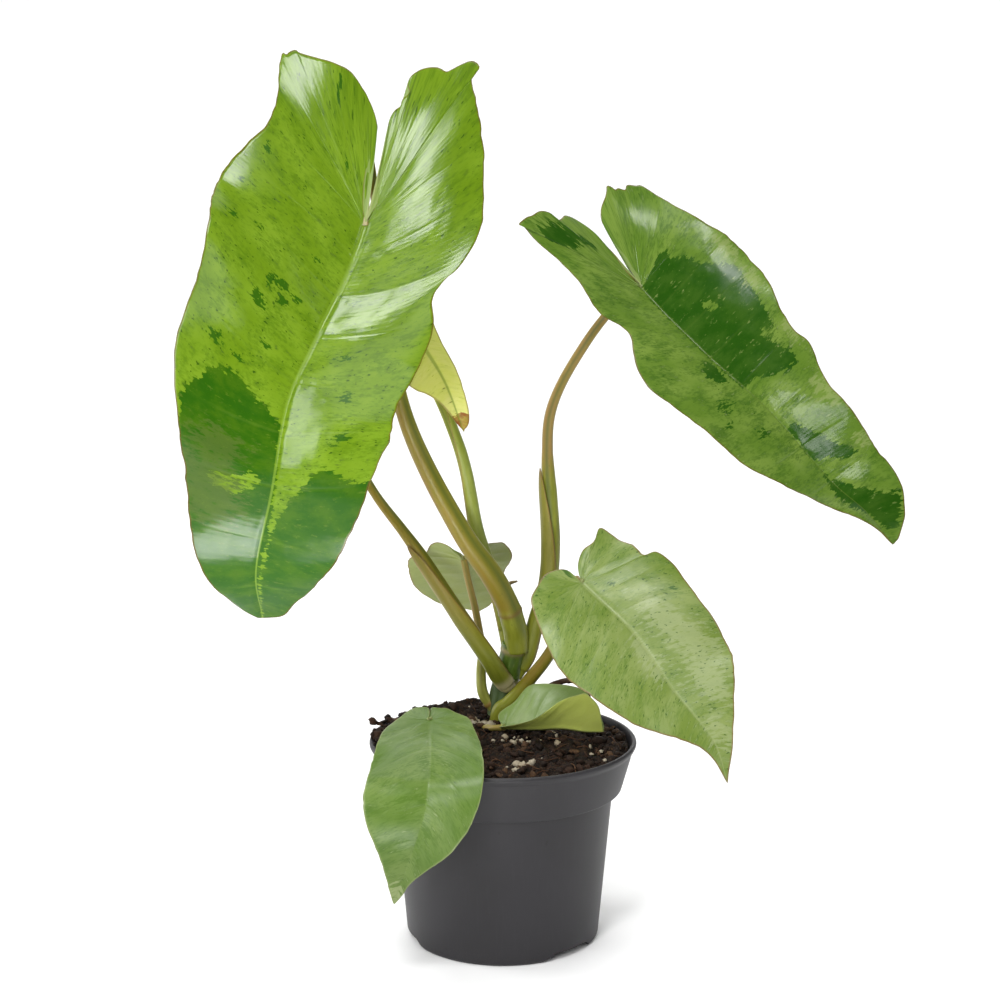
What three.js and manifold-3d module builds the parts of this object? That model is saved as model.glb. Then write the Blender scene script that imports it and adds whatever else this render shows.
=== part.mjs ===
// A variegated climbing aroid in a 12 cm nursery pot: heart-shaped leaf blades hanging from
// long leafstalks on one short stem, in a bark and perlite mix.
// Millimetres, +Z up. The origin is the middle of the pot's foot; the plant's front faces -Y.
import * as THREE from "three";
import { ParametricGeometry } from "three/addons/geometries/ParametricGeometry.js";
import { mergeVertices } from "three/addons/utils/BufferGeometryUtils.js";
import Module from "manifold-3d";

const wasm = await Module();
wasm.setup();

// Driving dimensions
const POT_HEIGHT = 91;
const RIM_RADIUS = 60;
const COLLAR_BOTTOM = 69.3;
const COLLAR_RADIUS = 53.5;
const BODY_TOP_RADIUS = 49.5;
const BASE_RADIUS = 43.4;
const WALL = 1.6;
const FLOOR_UNDERSIDE = 3.6;
const FLOOR_THICKNESS = 1.8;
const BOSS_RADIUS = 9;
const FOOT_RING_INNER = 39.6;
const NOTCH_WIDTH = 28;
const NOTCH_HEIGHT = 3.8;
const NOTCH_OUTER = 45.6;
const NOTCH_DEPTH = 18;
const NOTCH_ANGLES = [45, -75, 165];
const POT_SIDES = 60;

const SOIL_EDGE = 88.8;
const SOIL_SLOPE = 0.03;
const SOIL_MOUND = 2.4;
const SOIL_MOUND_RADIUS = 30;
const SOIL_BOTTOM = 7;
const SOIL_GAP = 0.4;
const SOIL_SIDES = 36;
const SOIL_RINGS = 9;
const CRUMBS = 52;
const CRUMB_SEED = 20;
const CRUMB_SPREAD = 54;
const CRUMB_SIZE = 1.1;
const CRUMB_GROWTH = 1.6;

const BLADE_THICKNESS = 0.7;
const FOLDED_BLADE_THICKNESS = 0.9;
const CLEARANCE = 0.3;
const STALK_SETBACK = 1.1;
const ROD_SIDES = 8;
const RIB_DIVISIONS = 60;
const LOBE_SHARE = 0.36;
const VEIN_CROWDING = 1.05;
const VEIN_SWEEP = 1.35;
const RUFFLE_FADE = 12;

const COLOURS = {
  pot: 0x52504f,
  soil: 0x33211a,
  stem: 0x6f8062,
  lime: 0x8aa83a,
  blueGreen: 0x7fa35c,
  paleGreen: 0x9fb46c,
  yellowGreen: 0xb4bd4b,
  brownStalk: 0x7a5a35,
  greenStalk: 0x93a04a,
  pinkStalk: 0x9a6a4e,
  bark: 0x6b3d24,
};

const vector = (list) => new THREE.Vector3(...list);
const smoothCurve = (points) => new THREE.CatmullRomCurve3(points.map(vector), false, "catmullrom", 0.5);

// A fixed sequence of numbers from 0 to 1, so that every build lays the same crumbs.
function numberSequence(seed) {
  let state = seed;
  return () => {
    state = (state * 1664525 + 1013904223) % 4294967296;
    return state / 4294967296;
  };
}

// Merges a geometry's shared corners and drops triangles that have closed up to a line.
function weld(geometry) {
  const bare = new THREE.BufferGeometry();
  bare.setAttribute("position", geometry.getAttribute("position").clone());
  bare.setIndex(geometry.getIndex());
  const merged = mergeVertices(bare, 1e-3);
  const old = merged.getIndex().array;
  const kept = [];
  for (let i = 0; i < old.length; i += 3) {
    const [a, b, c] = [old[i], old[i + 1], old[i + 2]];
    if (a !== b && b !== c && c !== a) kept.push(a, b, c);
  }
  merged.setIndex(kept);
  return merged;
}

function toSolid(geometry) {
  const merged = weld(geometry);
  return new wasm.Manifold(
    new wasm.Mesh({
      numProp: 3,
      vertProperties: new Float32Array(merged.getAttribute("position").array),
      triVerts: new Uint32Array(merged.getIndex().array),
    }),
  );
}

function toGeometry(solid) {
  const mesh = solid.getMesh();
  const geometry = new THREE.BufferGeometry();
  geometry.setAttribute("position", new THREE.BufferAttribute(mesh.vertProperties, 3));
  geometry.setIndex(new THREE.BufferAttribute(mesh.triVerts, 1));
  return geometry;
}

// The largest body of a solid, without the scraps that a cut leaves.
function mainBody(solid) {
  return solid.decompose().reduce((a, b) => (b.volume() > a.volume() ? b : a));
}

// Gives an open sheet a thickness: both faces keep the same triangles, and a rim closes them.
function thicken(sheet, thickness) {
  const middle = weld(sheet);
  middle.computeVertexNormals();
  const place = middle.getAttribute("position");
  const normal = middle.getAttribute("normal");
  const faces = Array.from(middle.getIndex().array);
  const count = place.count;
  const corners = [];
  for (const side of [1, -1]) {
    for (let i = 0; i < count; i++) {
      const lift = (side * thickness) / 2;
      corners.push(place.getX(i) + normal.getX(i) * lift);
      corners.push(place.getY(i) + normal.getY(i) * lift);
      corners.push(place.getZ(i) + normal.getZ(i) * lift);
    }
  }
  const directed = new Set();
  const index = [...faces];
  for (let i = 0; i < faces.length; i += 3) {
    const [a, b, c] = [faces[i], faces[i + 1], faces[i + 2]];
    index.push(c + count, b + count, a + count);
    for (const [p, q] of [[a, b], [b, c], [c, a]]) directed.add(`${p},${q}`);
  }
  for (const edge of directed) {
    const [p, q] = edge.split(",").map(Number);
    if (directed.has(`${q},${p}`)) continue;
    index.push(q, p, p + count);
    index.push(q, p + count, q + count);
  }
  const solid = new THREE.BufferGeometry();
  solid.setAttribute("position", new THREE.Float32BufferAttribute(corners, 3));
  solid.setIndex(index);
  return solid;
}

// A leaf blade's form. Stations run from behind the sinus, through the sinus (the second one),
// to the tip. Each has the blade's upper normal and its fold, the angle in degrees by which the
// two halves rise from flat. Curl bends each half back down, in degrees per mm across.
class BladeForm {
  constructor({ stations, faces, folds, curls, wave }) {
    this.rib = smoothCurve(stations);
    this.rib.arcLengthDivisions = RIB_DIVISIONS * (stations.length - 1);
    this.faces = smoothCurve(faces);
    this.folds = smoothCurve(folds.map(([left, right]) => [left, right, 0]));
    this.curls = curls.map(THREE.MathUtils.degToRad);
    this.wave = wave;
    const lengths = this.rib.getLengths();
    this.total = lengths[lengths.length - 1];
    this.behind = lengths[RIB_DIVISIONS];
    this.length = this.total - this.behind;
  }

  // Where the leafstalk meets the blade, and the blade's upper normal there.
  sinus() {
    const t = this.rib.getUtoTmapping(this.behind / this.total);
    const tangent = this.rib.getTangent(t);
    const across = new THREE.Vector3().crossVectors(tangent, this.faces.getPoint(t)).normalize();
    return { point: this.rib.getPoint(t), normal: across.cross(tangent).normalize() };
  }

  // The point at a distance along the rib from the sinus and a distance out across one half.
  place(along, out, half, ruffle, target) {
    const u = THREE.MathUtils.clamp((along + this.behind) / this.total, 0, 1);
    const t = this.rib.getUtoTmapping(u);
    const centre = this.rib.getPoint(t);
    const tangent = this.rib.getTangent(t);
    const across = new THREE.Vector3().crossVectors(tangent, this.faces.getPoint(t)).normalize();
    const normal = new THREE.Vector3().crossVectors(across, tangent).normalize();
    const folds = this.folds.getPoint(t);
    const fold = THREE.MathUtils.degToRad(half === 0 ? folds.x : folds.y);
    const curl = this.curls[half];
    const reach = (Math.sin(fold) - Math.sin(fold - curl * out)) / curl;
    const rise = (Math.cos(fold - curl * out) - Math.cos(fold)) / curl;
    const beyond = Math.min(along + this.behind, 0);
    target.copy(centre);
    target.addScaledVector(tangent, beyond);
    target.addScaledVector(across, half === 0 ? reach : -reach);
    target.addScaledVector(normal, rise + ruffle);
  }
}

// The blade's middle surface: rows fan out from the sinus round each lobe and then leave the
// rib one after another, swept toward the tip as the veins are.
function bladeSheet(form, halves, rows, columns) {
  const edges = halves.map((points) => smoothCurve(points.map(([along, out]) => [along, out, 0])));
  for (const edge of edges) edge.arcLengthDivisions = 600;
  const [amplitude, count, phase] = form.wave;
  return new ParametricGeometry(
    (u, v, target) => {
      const half = u > 0.5 ? 0 : 1;
      const share = Math.abs(2 * u - 1);
      const edge = edges[half].getPointAt(v);
      const onRib = THREE.MathUtils.clamp((v - LOBE_SHARE) / (1 - LOBE_SHARE), 0, 1);
      const start = form.length * Math.pow(onRib, VEIN_CROWDING);
      const sweep = 1 + (VEIN_SWEEP - 1) * Math.min(onRib * 4, 1);
      const along = start + (edge.x - start) * Math.pow(share, sweep);
      const ruffle = amplitude * share ** 3 * Math.sin(2 * Math.PI * count * v + phase + half * 2);
      form.place(along, edge.y * share, half, ruffle * Math.min(edge.y / RUFFLE_FADE, 1), target);
    },
    2 * columns,
    rows,
  );
}

// A rod bent along a path of [x, y, z, radius], with a closed end at each end.
function bentRod(path, grow = 0) {
  const curve = smoothCurve(path.map(([x, y, z]) => [x, y, z]));
  const rod = new THREE.CylinderGeometry(1, 1, 1, ROD_SIDES, 2 * (path.length - 1));
  const place = rod.getAttribute("position");
  for (let i = 0; i < place.count; i++) {
    const t = place.getY(i) + 0.5;
    const slot = t * (path.length - 1);
    const low = Math.min(Math.floor(slot), path.length - 2);
    const radius = THREE.MathUtils.lerp(path[low][3], path[low + 1][3], slot - low) + grow;
    const tangent = curve.getTangent(t);
    const left = new THREE.Vector3(0, -1, 0).cross(tangent).normalize();
    const front = new THREE.Vector3().crossVectors(tangent, left);
    const point = curve.getPoint(t);
    point.addScaledVector(left, -place.getX(i) * radius);
    point.addScaledVector(front, place.getZ(i) * radius);
    place.setXYZ(i, point.x, point.y, point.z);
  }
  return rod;
}

// The pot

function potSolid() {
  const floor = FLOOR_UNDERSIDE + FLOOR_THICKNESS;
  const profile = [
    [0, 0],
    [BOSS_RADIUS, 0],
    [BOSS_RADIUS + 1.5, FLOOR_UNDERSIDE],
    [FOOT_RING_INNER - 0.8, FLOOR_UNDERSIDE],
    [FOOT_RING_INNER, 0],
    [BASE_RADIUS - 1.2, 0],
    [BASE_RADIUS, 1.2],
    [BODY_TOP_RADIUS, COLLAR_BOTTOM - 0.9],
    [COLLAR_RADIUS - 0.5, COLLAR_BOTTOM - 0.3],
    [COLLAR_RADIUS, COLLAR_BOTTOM],
    [RIM_RADIUS - 1.5, POT_HEIGHT - 4],
    [RIM_RADIUS - 0.2, POT_HEIGHT - 2.2],
    [RIM_RADIUS, POT_HEIGHT - 1],
    [RIM_RADIUS - 0.8, POT_HEIGHT],
    [RIM_RADIUS - WALL - 0.4, POT_HEIGHT - 0.4],
    [COLLAR_RADIUS - WALL, COLLAR_BOTTOM + 1.2],
    [BODY_TOP_RADIUS - WALL, COLLAR_BOTTOM - 1.6],
    [BASE_RADIUS - WALL, floor + 1.5],
    [BASE_RADIUS - WALL - 1.5, floor],
    [0, floor],
  ];
  const turned = new THREE.LatheGeometry(profile.map(([r, z]) => new THREE.Vector2(r, z)), POT_SIDES);
  turned.rotateX(Math.PI / 2);
  let pot = toSolid(turned);
  for (const degrees of NOTCH_ANGLES) pot = pot.subtract(notchCutter(degrees));
  return pot;
}

// An arched drain notch through the foot ring, turned from the pot's front.
function notchCutter(degrees) {
  const half = NOTCH_WIDTH / 2;
  const arch = new THREE.Shape();
  arch.moveTo(-half, -1);
  arch.lineTo(half, -1);
  arch.lineTo(half, NOTCH_HEIGHT * 0.35);
  arch.quadraticCurveTo(half * 0.9, NOTCH_HEIGHT, half * 0.6, NOTCH_HEIGHT);
  arch.lineTo(-half * 0.6, NOTCH_HEIGHT);
  arch.quadraticCurveTo(-half * 0.9, NOTCH_HEIGHT, -half, NOTCH_HEIGHT * 0.35);
  const shape = { depth: NOTCH_DEPTH, bevelEnabled: false, curveSegments: 4 };
  const cutter = new THREE.ExtrudeGeometry(arch, shape);
  cutter.rotateX(Math.PI / 2);
  cutter.translate(0, NOTCH_DEPTH - NOTCH_OUTER, 0);
  cutter.rotateZ(THREE.MathUtils.degToRad(degrees));
  return toSolid(cutter);
}

// The potting mix

function soilHeight(x, y) {
  const mound = SOIL_MOUND * Math.exp(-(x * x + y * y) / (2 * SOIL_MOUND_RADIUS ** 2));
  const lumps = 0.7 * Math.sin(0.31 * x + 0.9) * Math.cos(0.27 * y) + 0.4 * Math.sin(0.7 * x - 0.5 * y);
  return SOIL_EDGE + SOIL_SLOPE * y + mound + lumps;
}

// The mix fills the pot to a low mound and follows its wall at an even gap.
function soilSolid(holes) {
  const bodySlope = (BODY_TOP_RADIUS - BASE_RADIUS) / COLLAR_BOTTOM;
  const insideBody = (z) => BASE_RADIUS - WALL - SOIL_GAP + bodySlope * (z - 1);
  const collarSlope = (RIM_RADIUS - WALL - COLLAR_RADIUS) / (POT_HEIGHT - COLLAR_BOTTOM);
  const insideCollar = (z) => COLLAR_RADIUS - WALL - SOIL_GAP + collarSlope * (z - COLLAR_BOTTOM - 1.2);
  const edge = insideCollar(SOIL_EDGE);
  const profile = [
    [0, SOIL_BOTTOM],
    [insideBody(SOIL_BOTTOM) - 1, SOIL_BOTTOM],
    [insideBody(COLLAR_BOTTOM - 2), COLLAR_BOTTOM - 2],
    [insideCollar(COLLAR_BOTTOM + 2), COLLAR_BOTTOM + 2],
  ];
  for (let ring = SOIL_RINGS; ring >= 0; ring--) profile.push([(edge * ring) / SOIL_RINGS, SOIL_EDGE]);
  const plug = new THREE.LatheGeometry(profile.map(([r, z]) => new THREE.Vector2(r, z)), SOIL_SIDES);
  plug.rotateX(Math.PI / 2);
  const place = plug.getAttribute("position");
  for (let i = 0; i < place.count; i++) {
    if (place.getZ(i) < SOIL_EDGE - 0.01) continue;
    const [x, y] = [place.getX(i), place.getY(i)];
    place.setZ(i, soilHeight(x, y));
  }
  let soil = toSolid(plug);
  for (const crumb of crumbs()) soil = soil.add(crumb);
  for (const hole of holes) soil = soil.subtract(hole);
  return mainBody(soil);
}

// Loose bits of bark, coir and perlite, each sunk by almost half into the mix.
function crumbs() {
  const random = numberSequence(CRUMB_SEED);
  const solids = [];
  for (let i = 0; i < CRUMBS; i++) {
    const r = CRUMB_SPREAD * Math.sqrt(random());
    const turn = 2 * Math.PI * random();
    const size = CRUMB_SIZE + CRUMB_GROWTH * random() ** 2;
    const bit = new THREE.IcosahedronGeometry(size, 0);
    bit.scale(1 + 0.6 * random(), 1, 0.7);
    bit.rotateZ(Math.PI * random());
    const [x, y] = [r * Math.cos(turn), r * Math.sin(turn)];
    bit.translate(x, y, soilHeight(x, y) + size * 0.1);
    if (!underLeafOnSoil(x, y)) solids.push(toSolid(bit));
  }
  return solids;
}

// The folded leaf's strip of mix, which stays free of crumbs.
function underLeafOnSoil(x, y) {
  return x > -12 && x < 50 && y > -12 && y < 14;
}

// The stem and the leafstalks, by the leaf that each one carries

const STEM = [
  [-1.3, 35, 79, 5.9], [-1.3, 35, 92.7, 5.9], [-0.4, 33, 101, 5.8], [1, 31.5, 108, 5.7],
  [2.9, 30, 115, 6.1], [4.2, 29, 121.6, 5.7], [5.1, 28, 127.5, 5],
];

const STALKS = {
  large_left: {
    colour: "brownStalk",
    path: [
      [6.5, 27, 124, 5.3], [6, 26, 132, 5.6], [4.6, 23, 139, 5.5], [1.9, 20, 148, 5.3],
      [-5.3, 14, 163, 5.2], [-17, 9, 181, 4.7], [-33, 3, 212, 4.1], [-43, -5, 239, 3.5],
      [-48, -9, 267, 2.8], [-50, -9, 292, 2.4], [-52.7, -4, 315, 2.2], [-55.4, 3, 334, 2],
      [-57.3, 1, 347.8, 1.9], [-59, -5, 346, 1.8], [-58.3, -12, 333, 1.8],
    ],
  },
  behind: {
    colour: "brownStalk",
    path: [
      [2.5, 29, 107, 4.2], [-1.3, 25, 113, 4.3], [-5.9, 20, 122, 4], [-11, 19, 130, 3.9],
      [-18, 20, 140, 3.8], [-24, 22, 149, 3.5], [-37, 28, 168, 3.1], [-46, 31, 180, 2.5],
      [-59, 38, 196, 2.1], [-73, 47, 219, 1.9], [-84, 52, 239, 1.8], [-90, 51, 254, 1.7],
      [-92, 46.5, 255.5, 1.7],
    ],
  },
  young: {
    colour: "greenStalk",
    path: [
      [2.6, 32, 124, 3], [-1.8, 31, 145.5, 3], [-6, 26.5, 162, 3], [-12, 22.5, 181, 3.1],
      [-15, 19, 199, 2.8], [-16.5, 17, 208, 2.6], [-19.3, 15, 219, 2.4], [-23, 14, 229, 2],
      [-28, 14, 241, 1.8], [-36, 15, 257, 1.7], [-42, 15, 272, 1.6],
    ],
  },
  right: {
    colour: "brownStalk",
    path: [
      [6, 29.5, 111, 2.6], [8.4, 30, 115, 3], [11.6, 30, 121, 3.4], [13.4, 30, 128.5, 3.7],
      [15.7, 30, 138, 3.6], [19.3, 30, 149, 3.8], [21.6, 29, 162, 4.1], [22, 27, 178, 4.1],
      [21, 25, 198, 3.6], [20, 23, 218, 2.5], [21, 21, 234, 2.4], [26.3, 19, 249, 2.2],
      [36.7, 17, 267, 2.1], [45.5, 17, 279, 2], [55, 14, 290, 1.9],
    ],
  },
  lower_right: {
    colour: "brownStalk",
    path: [
      [-3.6, 26, 82, 3.4], [-1.8, 25, 95.6, 3.5], [2.4, 24, 100, 3.3], [7.4, 23, 105.7, 3.2],
      [13.8, 21, 114, 3.1], [21, 18, 124.5, 2.9], [29.8, 13, 142, 2.5], [35, 8, 156, 2.1],
      [36, 3, 161.5, 1.9],
    ],
  },
  small_back: {
    colour: "pinkStalk",
    path: [
      [-4.5, 33, 95, 2.3], [-9.2, 33, 102.4, 2.5], [-10.1, 34, 112, 2.3], [-9.6, 35, 122.4, 2],
      [-11, 35.5, 132, 1.8], [-13, 36, 143, 1.7], [-16, 37, 155, 1.6],
    ],
  },
  over_rim: {
    colour: "greenStalk",
    path: [
      [-25, 2, 80, 2.6], [-26, -2, 91, 2.5], [-28, -14, 98.5, 2.2], [-31, -24, 103.5, 1.9],
    ],
  },
  on_soil: {
    colour: "pinkStalk",
    path: [[-9, 20, 82, 1.8], [-8, 15, 90.5, 1.7], [-5, 9, 92.6, 1.4]],
  },
};

// A dried sheath that stands up behind the thickest leafstalk, its dark tip bent out.
const DRY_SHEATH = [
  [2.4, 34, 123, 1.8], [2.9, 34, 139, 1.4], [1.9, 33.5, 149, 1.2], [2.8, 33, 154, 1],
  [6.7, 32.5, 155.7, 0.5],
];

// A strip of bark that bridges over the mix behind the folded leaf.
const BARK_STRIP = [
  [18, 29, 84, 1.4], [18.6, 30, 97.5, 1.4], [20.9, 31, 105.3, 1.4], [26.5, 31, 108.2, 1.4],
  [32.5, 30, 109, 1.4], [37, 29, 106.8, 1.4], [39.4, 28, 101.9, 1.4], [40, 27, 84, 1.4],
];

// The leaf blades. A half is a list of [along, out]: millimetres along the rib from the sinus,
// and out from it, going from the sinus round the lobe and down to the tip. The first half is
// the one on the left as the blade hangs facing the viewer.

const BLADES = {
  large_left: {
    colour: "lime",
    rows: 42,
    columns: 5,
    stations: [
      [-46, 4, 385], [-58, -20, 320], [-76, -38, 278], [-89, -46, 249], [-96, -50, 212],
      [-104, -44, 177], [-104, -24, 152],
    ],
    faces: [
      [0.08, -0.9, 0.42], [0.02, -0.95, 0.3], [0, -1, 0.12], [-0.04, -1, 0],
      [-0.04, -1, -0.08], [0, -0.95, -0.2], [0, -0.8, -0.6],
    ],
    folds: [[6, 6], [14, 14], [14, 12], [12, 10], [10, 8], [8, 8], [4, 4]],
    curls: [0.35, 0.3],
    wave: [1, 6, 0],
    halves: [
      [
        [0, 0], [-8, 3], [-24, 5], [-40, 3], [-52, 7], [-62, 14], [-67, 23], [-70, 36], [-68, 49],
        [-57, 48], [-47, 46], [-36, 49], [-25, 56], [-10, 62], [8, 64], [28, 61], [48, 55],
        [63, 54], [76, 51], [92, 44], [112, 38], [132, 33], [150, 26], [168, 16], [181, 9],
        [188, 3], [189, 0],
      ],
      [
        [0, 0], [-12, 3], [-24, 2], [-34, 1.5], [-46, 3], [-57, 7], [-65, 6], [-71, 10], [-75, 17],
        [-74, 23], [-80, 30], [-79, 35], [-71, 33], [-60, 37], [-44, 42], [-28, 45], [-10, 48],
        [4, 45], [14, 39], [20, 38], [30, 43], [46, 44], [64, 43], [88, 45], [104, 41], [118, 38],
        [136, 34], [152, 29], [168, 23], [178, 15], [186, 9], [189, 0],
      ],
    ],
  },
  right: {
    colour: "lime",
    rows: 38,
    columns: 5,
    stations: [
      [36, 16, 325], [60, 6, 292], [87, -6, 265], [114, -14, 241], [140, -20, 212],
      [156, -20, 198], [169, -17, 183],
    ],
    faces: [
      [0.3, -0.7, 0.65], [0.36, -0.8, 0.52], [0.4, -0.83, 0.45], [0.4, -0.85, 0.42],
      [0.4, -0.88, 0.38], [0.38, -0.9, 0.3], [0.3, -0.95, 0.2],
    ],
    folds: [[20, 10], [24, 16], [22, 14], [20, 12], [16, 10], [14, 8], [8, 4]],
    curls: [0.2, 0.3],
    wave: [1.2, 5, 1],
    halves: [
      [
        [0, 0], [-10, 2], [-20, 2], [-31, 4], [-39, 9], [-44, 15], [-43, 23], [-48, 31], [-49, 38],
        [-46, 45], [-36, 41], [-24, 37], [-13, 36], [-3, 38], [5, 37], [12, 31], [18, 31],
        [28, 40], [38, 45], [50, 42], [68, 38], [88, 34], [104, 25], [118, 15], [130, 8],
        [140, 4], [149, 1.2], [155, 0.6], [159, 0],
      ],
      [
        [0, 0], [-9, 4], [-20, 5], [-32, 4], [-41, 9], [-46, 17], [-40, 23], [-43, 28], [-38, 34],
        [-25, 39], [-9, 45], [4, 50], [18, 51], [34, 48], [50, 41], [62, 38], [70, 39], [83, 31],
        [98, 30], [117, 28], [133, 25], [144, 19.5], [152, 12], [157, 5], [159, 0],
      ],
    ],
  },
  lower_right: {
    colour: "paleGreen",
    rows: 30,
    columns: 4,
    stations: [
      [25, 6, 175], [35, -4, 163], [56, -18, 145], [74, -30, 121], [90, -38, 102], [97, -38, 82],
    ],
    faces: [
      [0.05, -0.85, 0.55], [0.08, -0.88, 0.5], [0.1, -0.92, 0.36], [0.1, -0.95, 0.25],
      [0.1, -0.98, 0.12], [0.05, -1, 0],
    ],
    folds: [[8, 8], [12, 10], [12, 10], [10, 8], [8, 6], [4, 4]],
    curls: [0.35, 0.35],
    wave: [0.8, 5, 2],
    halves: [
      [
        [0, 0], [-8, 1.5], [-11, 6], [-11, 12], [-8, 18], [-5, 24], [0, 27], [7, 31], [14, 34],
        [22, 36], [33, 36], [46, 32], [60, 26], [72, 18], [84, 10], [96, 4], [104, 1.5], [111, 0],
      ],
      [
        [0, 0], [-8, 3.5], [-13, 9], [-14, 15], [-18, 21], [-14, 24], [-8, 26], [2, 28],
        [11, 28], [14, 33], [22, 34], [33, 32], [47, 32], [58, 31], [70, 28], [80, 20],
        [90, 10], [101, 4], [111, 0],
      ],
    ],
  },
  over_rim: {
    colour: "blueGreen",
    rows: 28,
    columns: 4,
    stations: [
      [-32, -12, 113], [-32, -28, 107], [-31, -48, 102], [-31, -66, 92], [-33, -71, 79],
      [-38, -72, 63], [-46, -66, 38],
    ],
    faces: [
      [-0.05, -0.5, 0.85], [-0.05, -0.6, 0.8], [-0.05, -0.75, 0.65], [-0.05, -0.95, 0.3],
      [-0.05, -1, 0.05], [-0.05, -1, -0.05], [-0.05, -0.98, -0.1],
    ],
    folds: [[4, 4], [6, 6], [8, 8], [10, 10], [10, 10], [10, 10], [6, 6]],
    curls: [0.3, 0.3],
    wave: [0.6, 4, 0.5],
    halves: [
      [
        [0, 0], [-6, 2], [-10, 5], [-7, 9], [-2, 13], [6, 19], [20, 23], [38, 25], [54, 26],
        [66, 22], [76, 14], [88, 7], [95, 3], [100, 0],
      ],
      [
        [0, 0], [-6, 1.5], [-10, 4], [-8, 7], [-3, 11], [4, 17], [17, 20], [28, 22], [40, 23],
        [52, 21], [63, 17], [74, 11], [86, 4], [94, 2], [100, 0],
      ],
    ],
  },
  on_soil: {
    colour: "blueGreen",
    rows: 20,
    columns: 4,
    thickness: FOLDED_BLADE_THICKNESS,
    stations: [[-5, 6, 94.5], [1, 5, 94.5], [12, 2, 94.5], [26, 1, 95], [37, -2, 94.5], [45, -4, 95]],
    faces: [[0, -0.1, 1], [0, -0.1, 1], [0, -0.1, 1], [0, -0.1, 1], [0, -0.1, 1], [0, -0.1, 1]],
    folds: [[10, 40], [20, 50], [45, 56], [66, 56], [76, 54], [70, 50]],
    curls: [0.1, 0.3],
    wave: [0.4, 3, 0],
    halves: [
      [
        [0, 0], [-2, 3], [4, 6], [12, 9], [20, 13], [30, 19], [39, 21], [44, 17], [45.8, 8], [46, 0],
      ],
      [
        [0, 0], [-3, 3], [-3, 7], [2, 12], [8, 19], [17, 21], [26, 20], [35, 17], [42, 10], [46, 0],
      ],
    ],
  },
  small_back: {
    colour: "paleGreen",
    rows: 22,
    columns: 4,
    stations: [[-20, 30, 171], [-18, 38, 165], [-15, 60, 148], [-12, 84, 129]],
    faces: [[-0.05, 0.5, 0.85], [-0.05, 0.5, 0.85], [-0.05, 0.55, 0.83], [-0.05, 0.5, 0.85]],
    folds: [[8, 8], [10, 10], [10, 10], [6, 6]],
    curls: [0.3, 0.3],
    wave: [0.5, 4, 0],
    halves: [
      [
        [0, 0], [-7, 6], [-11, 14], [-9, 19], [-3, 21], [5, 22], [14, 20], [25, 16], [40, 12],
        [52, 7], [59, 0],
      ],
      [
        [0, 0], [-7, 3], [-14, 4], [-18, 8], [-15, 12], [-8, 16], [-3, 24], [6, 27], [20, 28],
        [36, 26], [46, 20], [54, 9], [59, 0],
      ],
    ],
  },
  young: {
    colour: "yellowGreen",
    rows: 22,
    columns: 4,
    stations: [[-49, 16, 286], [-43, 12, 277], [-34, 8, 265], [-25, 5, 250], [-17, 2, 229]],
    faces: [[0.1, -0.95, 0.3], [0.1, -0.95, 0.3], [0.1, -0.95, 0.3], [0.1, -0.95, 0.3], [0.1, -0.95, 0.3]],
    folds: [[10, 10], [10, 10], [10, 10], [10, 10], [10, 10]],
    curls: [2, 2],
    wave: [0.3, 3, 0],
    halves: [
      [[0, 0], [-6, 2], [-9, 7], [-5, 13], [6, 17], [18, 16], [28, 14], [36, 8], [44, 4], [50, 2], [55, 0]],
      [[0, 0], [-6, 2], [-9, 6], [-4, 10], [5, 10], [15, 8], [28, 7], [40, 6], [48, 5], [53, 3], [55, 0]],
    ],
  },
  behind: {
    colour: "blueGreen",
    rows: 26,
    columns: 4,
    stations: [[-85, 42, 268], [-91, 40, 253], [-100, 44, 224], [-107, 50, 190], [-113, 52, 162]],
    faces: [[-0.1, -0.9, 0.4], [-0.1, -0.93, 0.35], [-0.1, -0.97, 0.2], [-0.1, -1, 0.05], [-0.1, -1, 0]],
    folds: [[8, 8], [12, 12], [12, 12], [10, 10], [6, 6]],
    curls: [0.4, 0.4],
    wave: [0.8, 5, 0],
    halves: [
      [
        [0, 0], [-8, 3], [-18, 4], [-25, 11], [-23, 20], [-13, 27], [0, 29], [16, 29], [34, 26],
        [52, 21], [70, 14], [84, 7], [95, 0],
      ],
      [
        [0, 0], [-8, 3], [-18, 4], [-24, 10], [-23, 19], [-14, 25], [0, 28], [16, 28], [34, 26],
        [52, 21], [70, 14], [84, 6], [95, 0],
      ],
    ],
  },
};

// Assembly

const plant = new THREE.Group();
plant.name = "potted_plant";

function addPiece(name, geometry, colour, roughness) {
  const bare = weld(geometry);
  bare.computeVertexNormals();
  const material = new THREE.MeshStandardMaterial({ color: COLOURS[colour], roughness, metalness: 0 });
  const mesh = new THREE.Mesh(bare, material);
  mesh.name = name;
  plant.add(mesh);
}

const rodOf = (path, grow) => toSolid(bentRod(path, grow));
const bladeThickness = (name) => BLADES[name].thickness ?? BLADE_THICKNESS;

const forms = {};
const sheets = {};
for (const [name, spec] of Object.entries(BLADES)) {
  forms[name] = new BladeForm(spec);
  sheets[name] = bladeSheet(forms[name], spec.halves, spec.rows, spec.columns);
}

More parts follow.
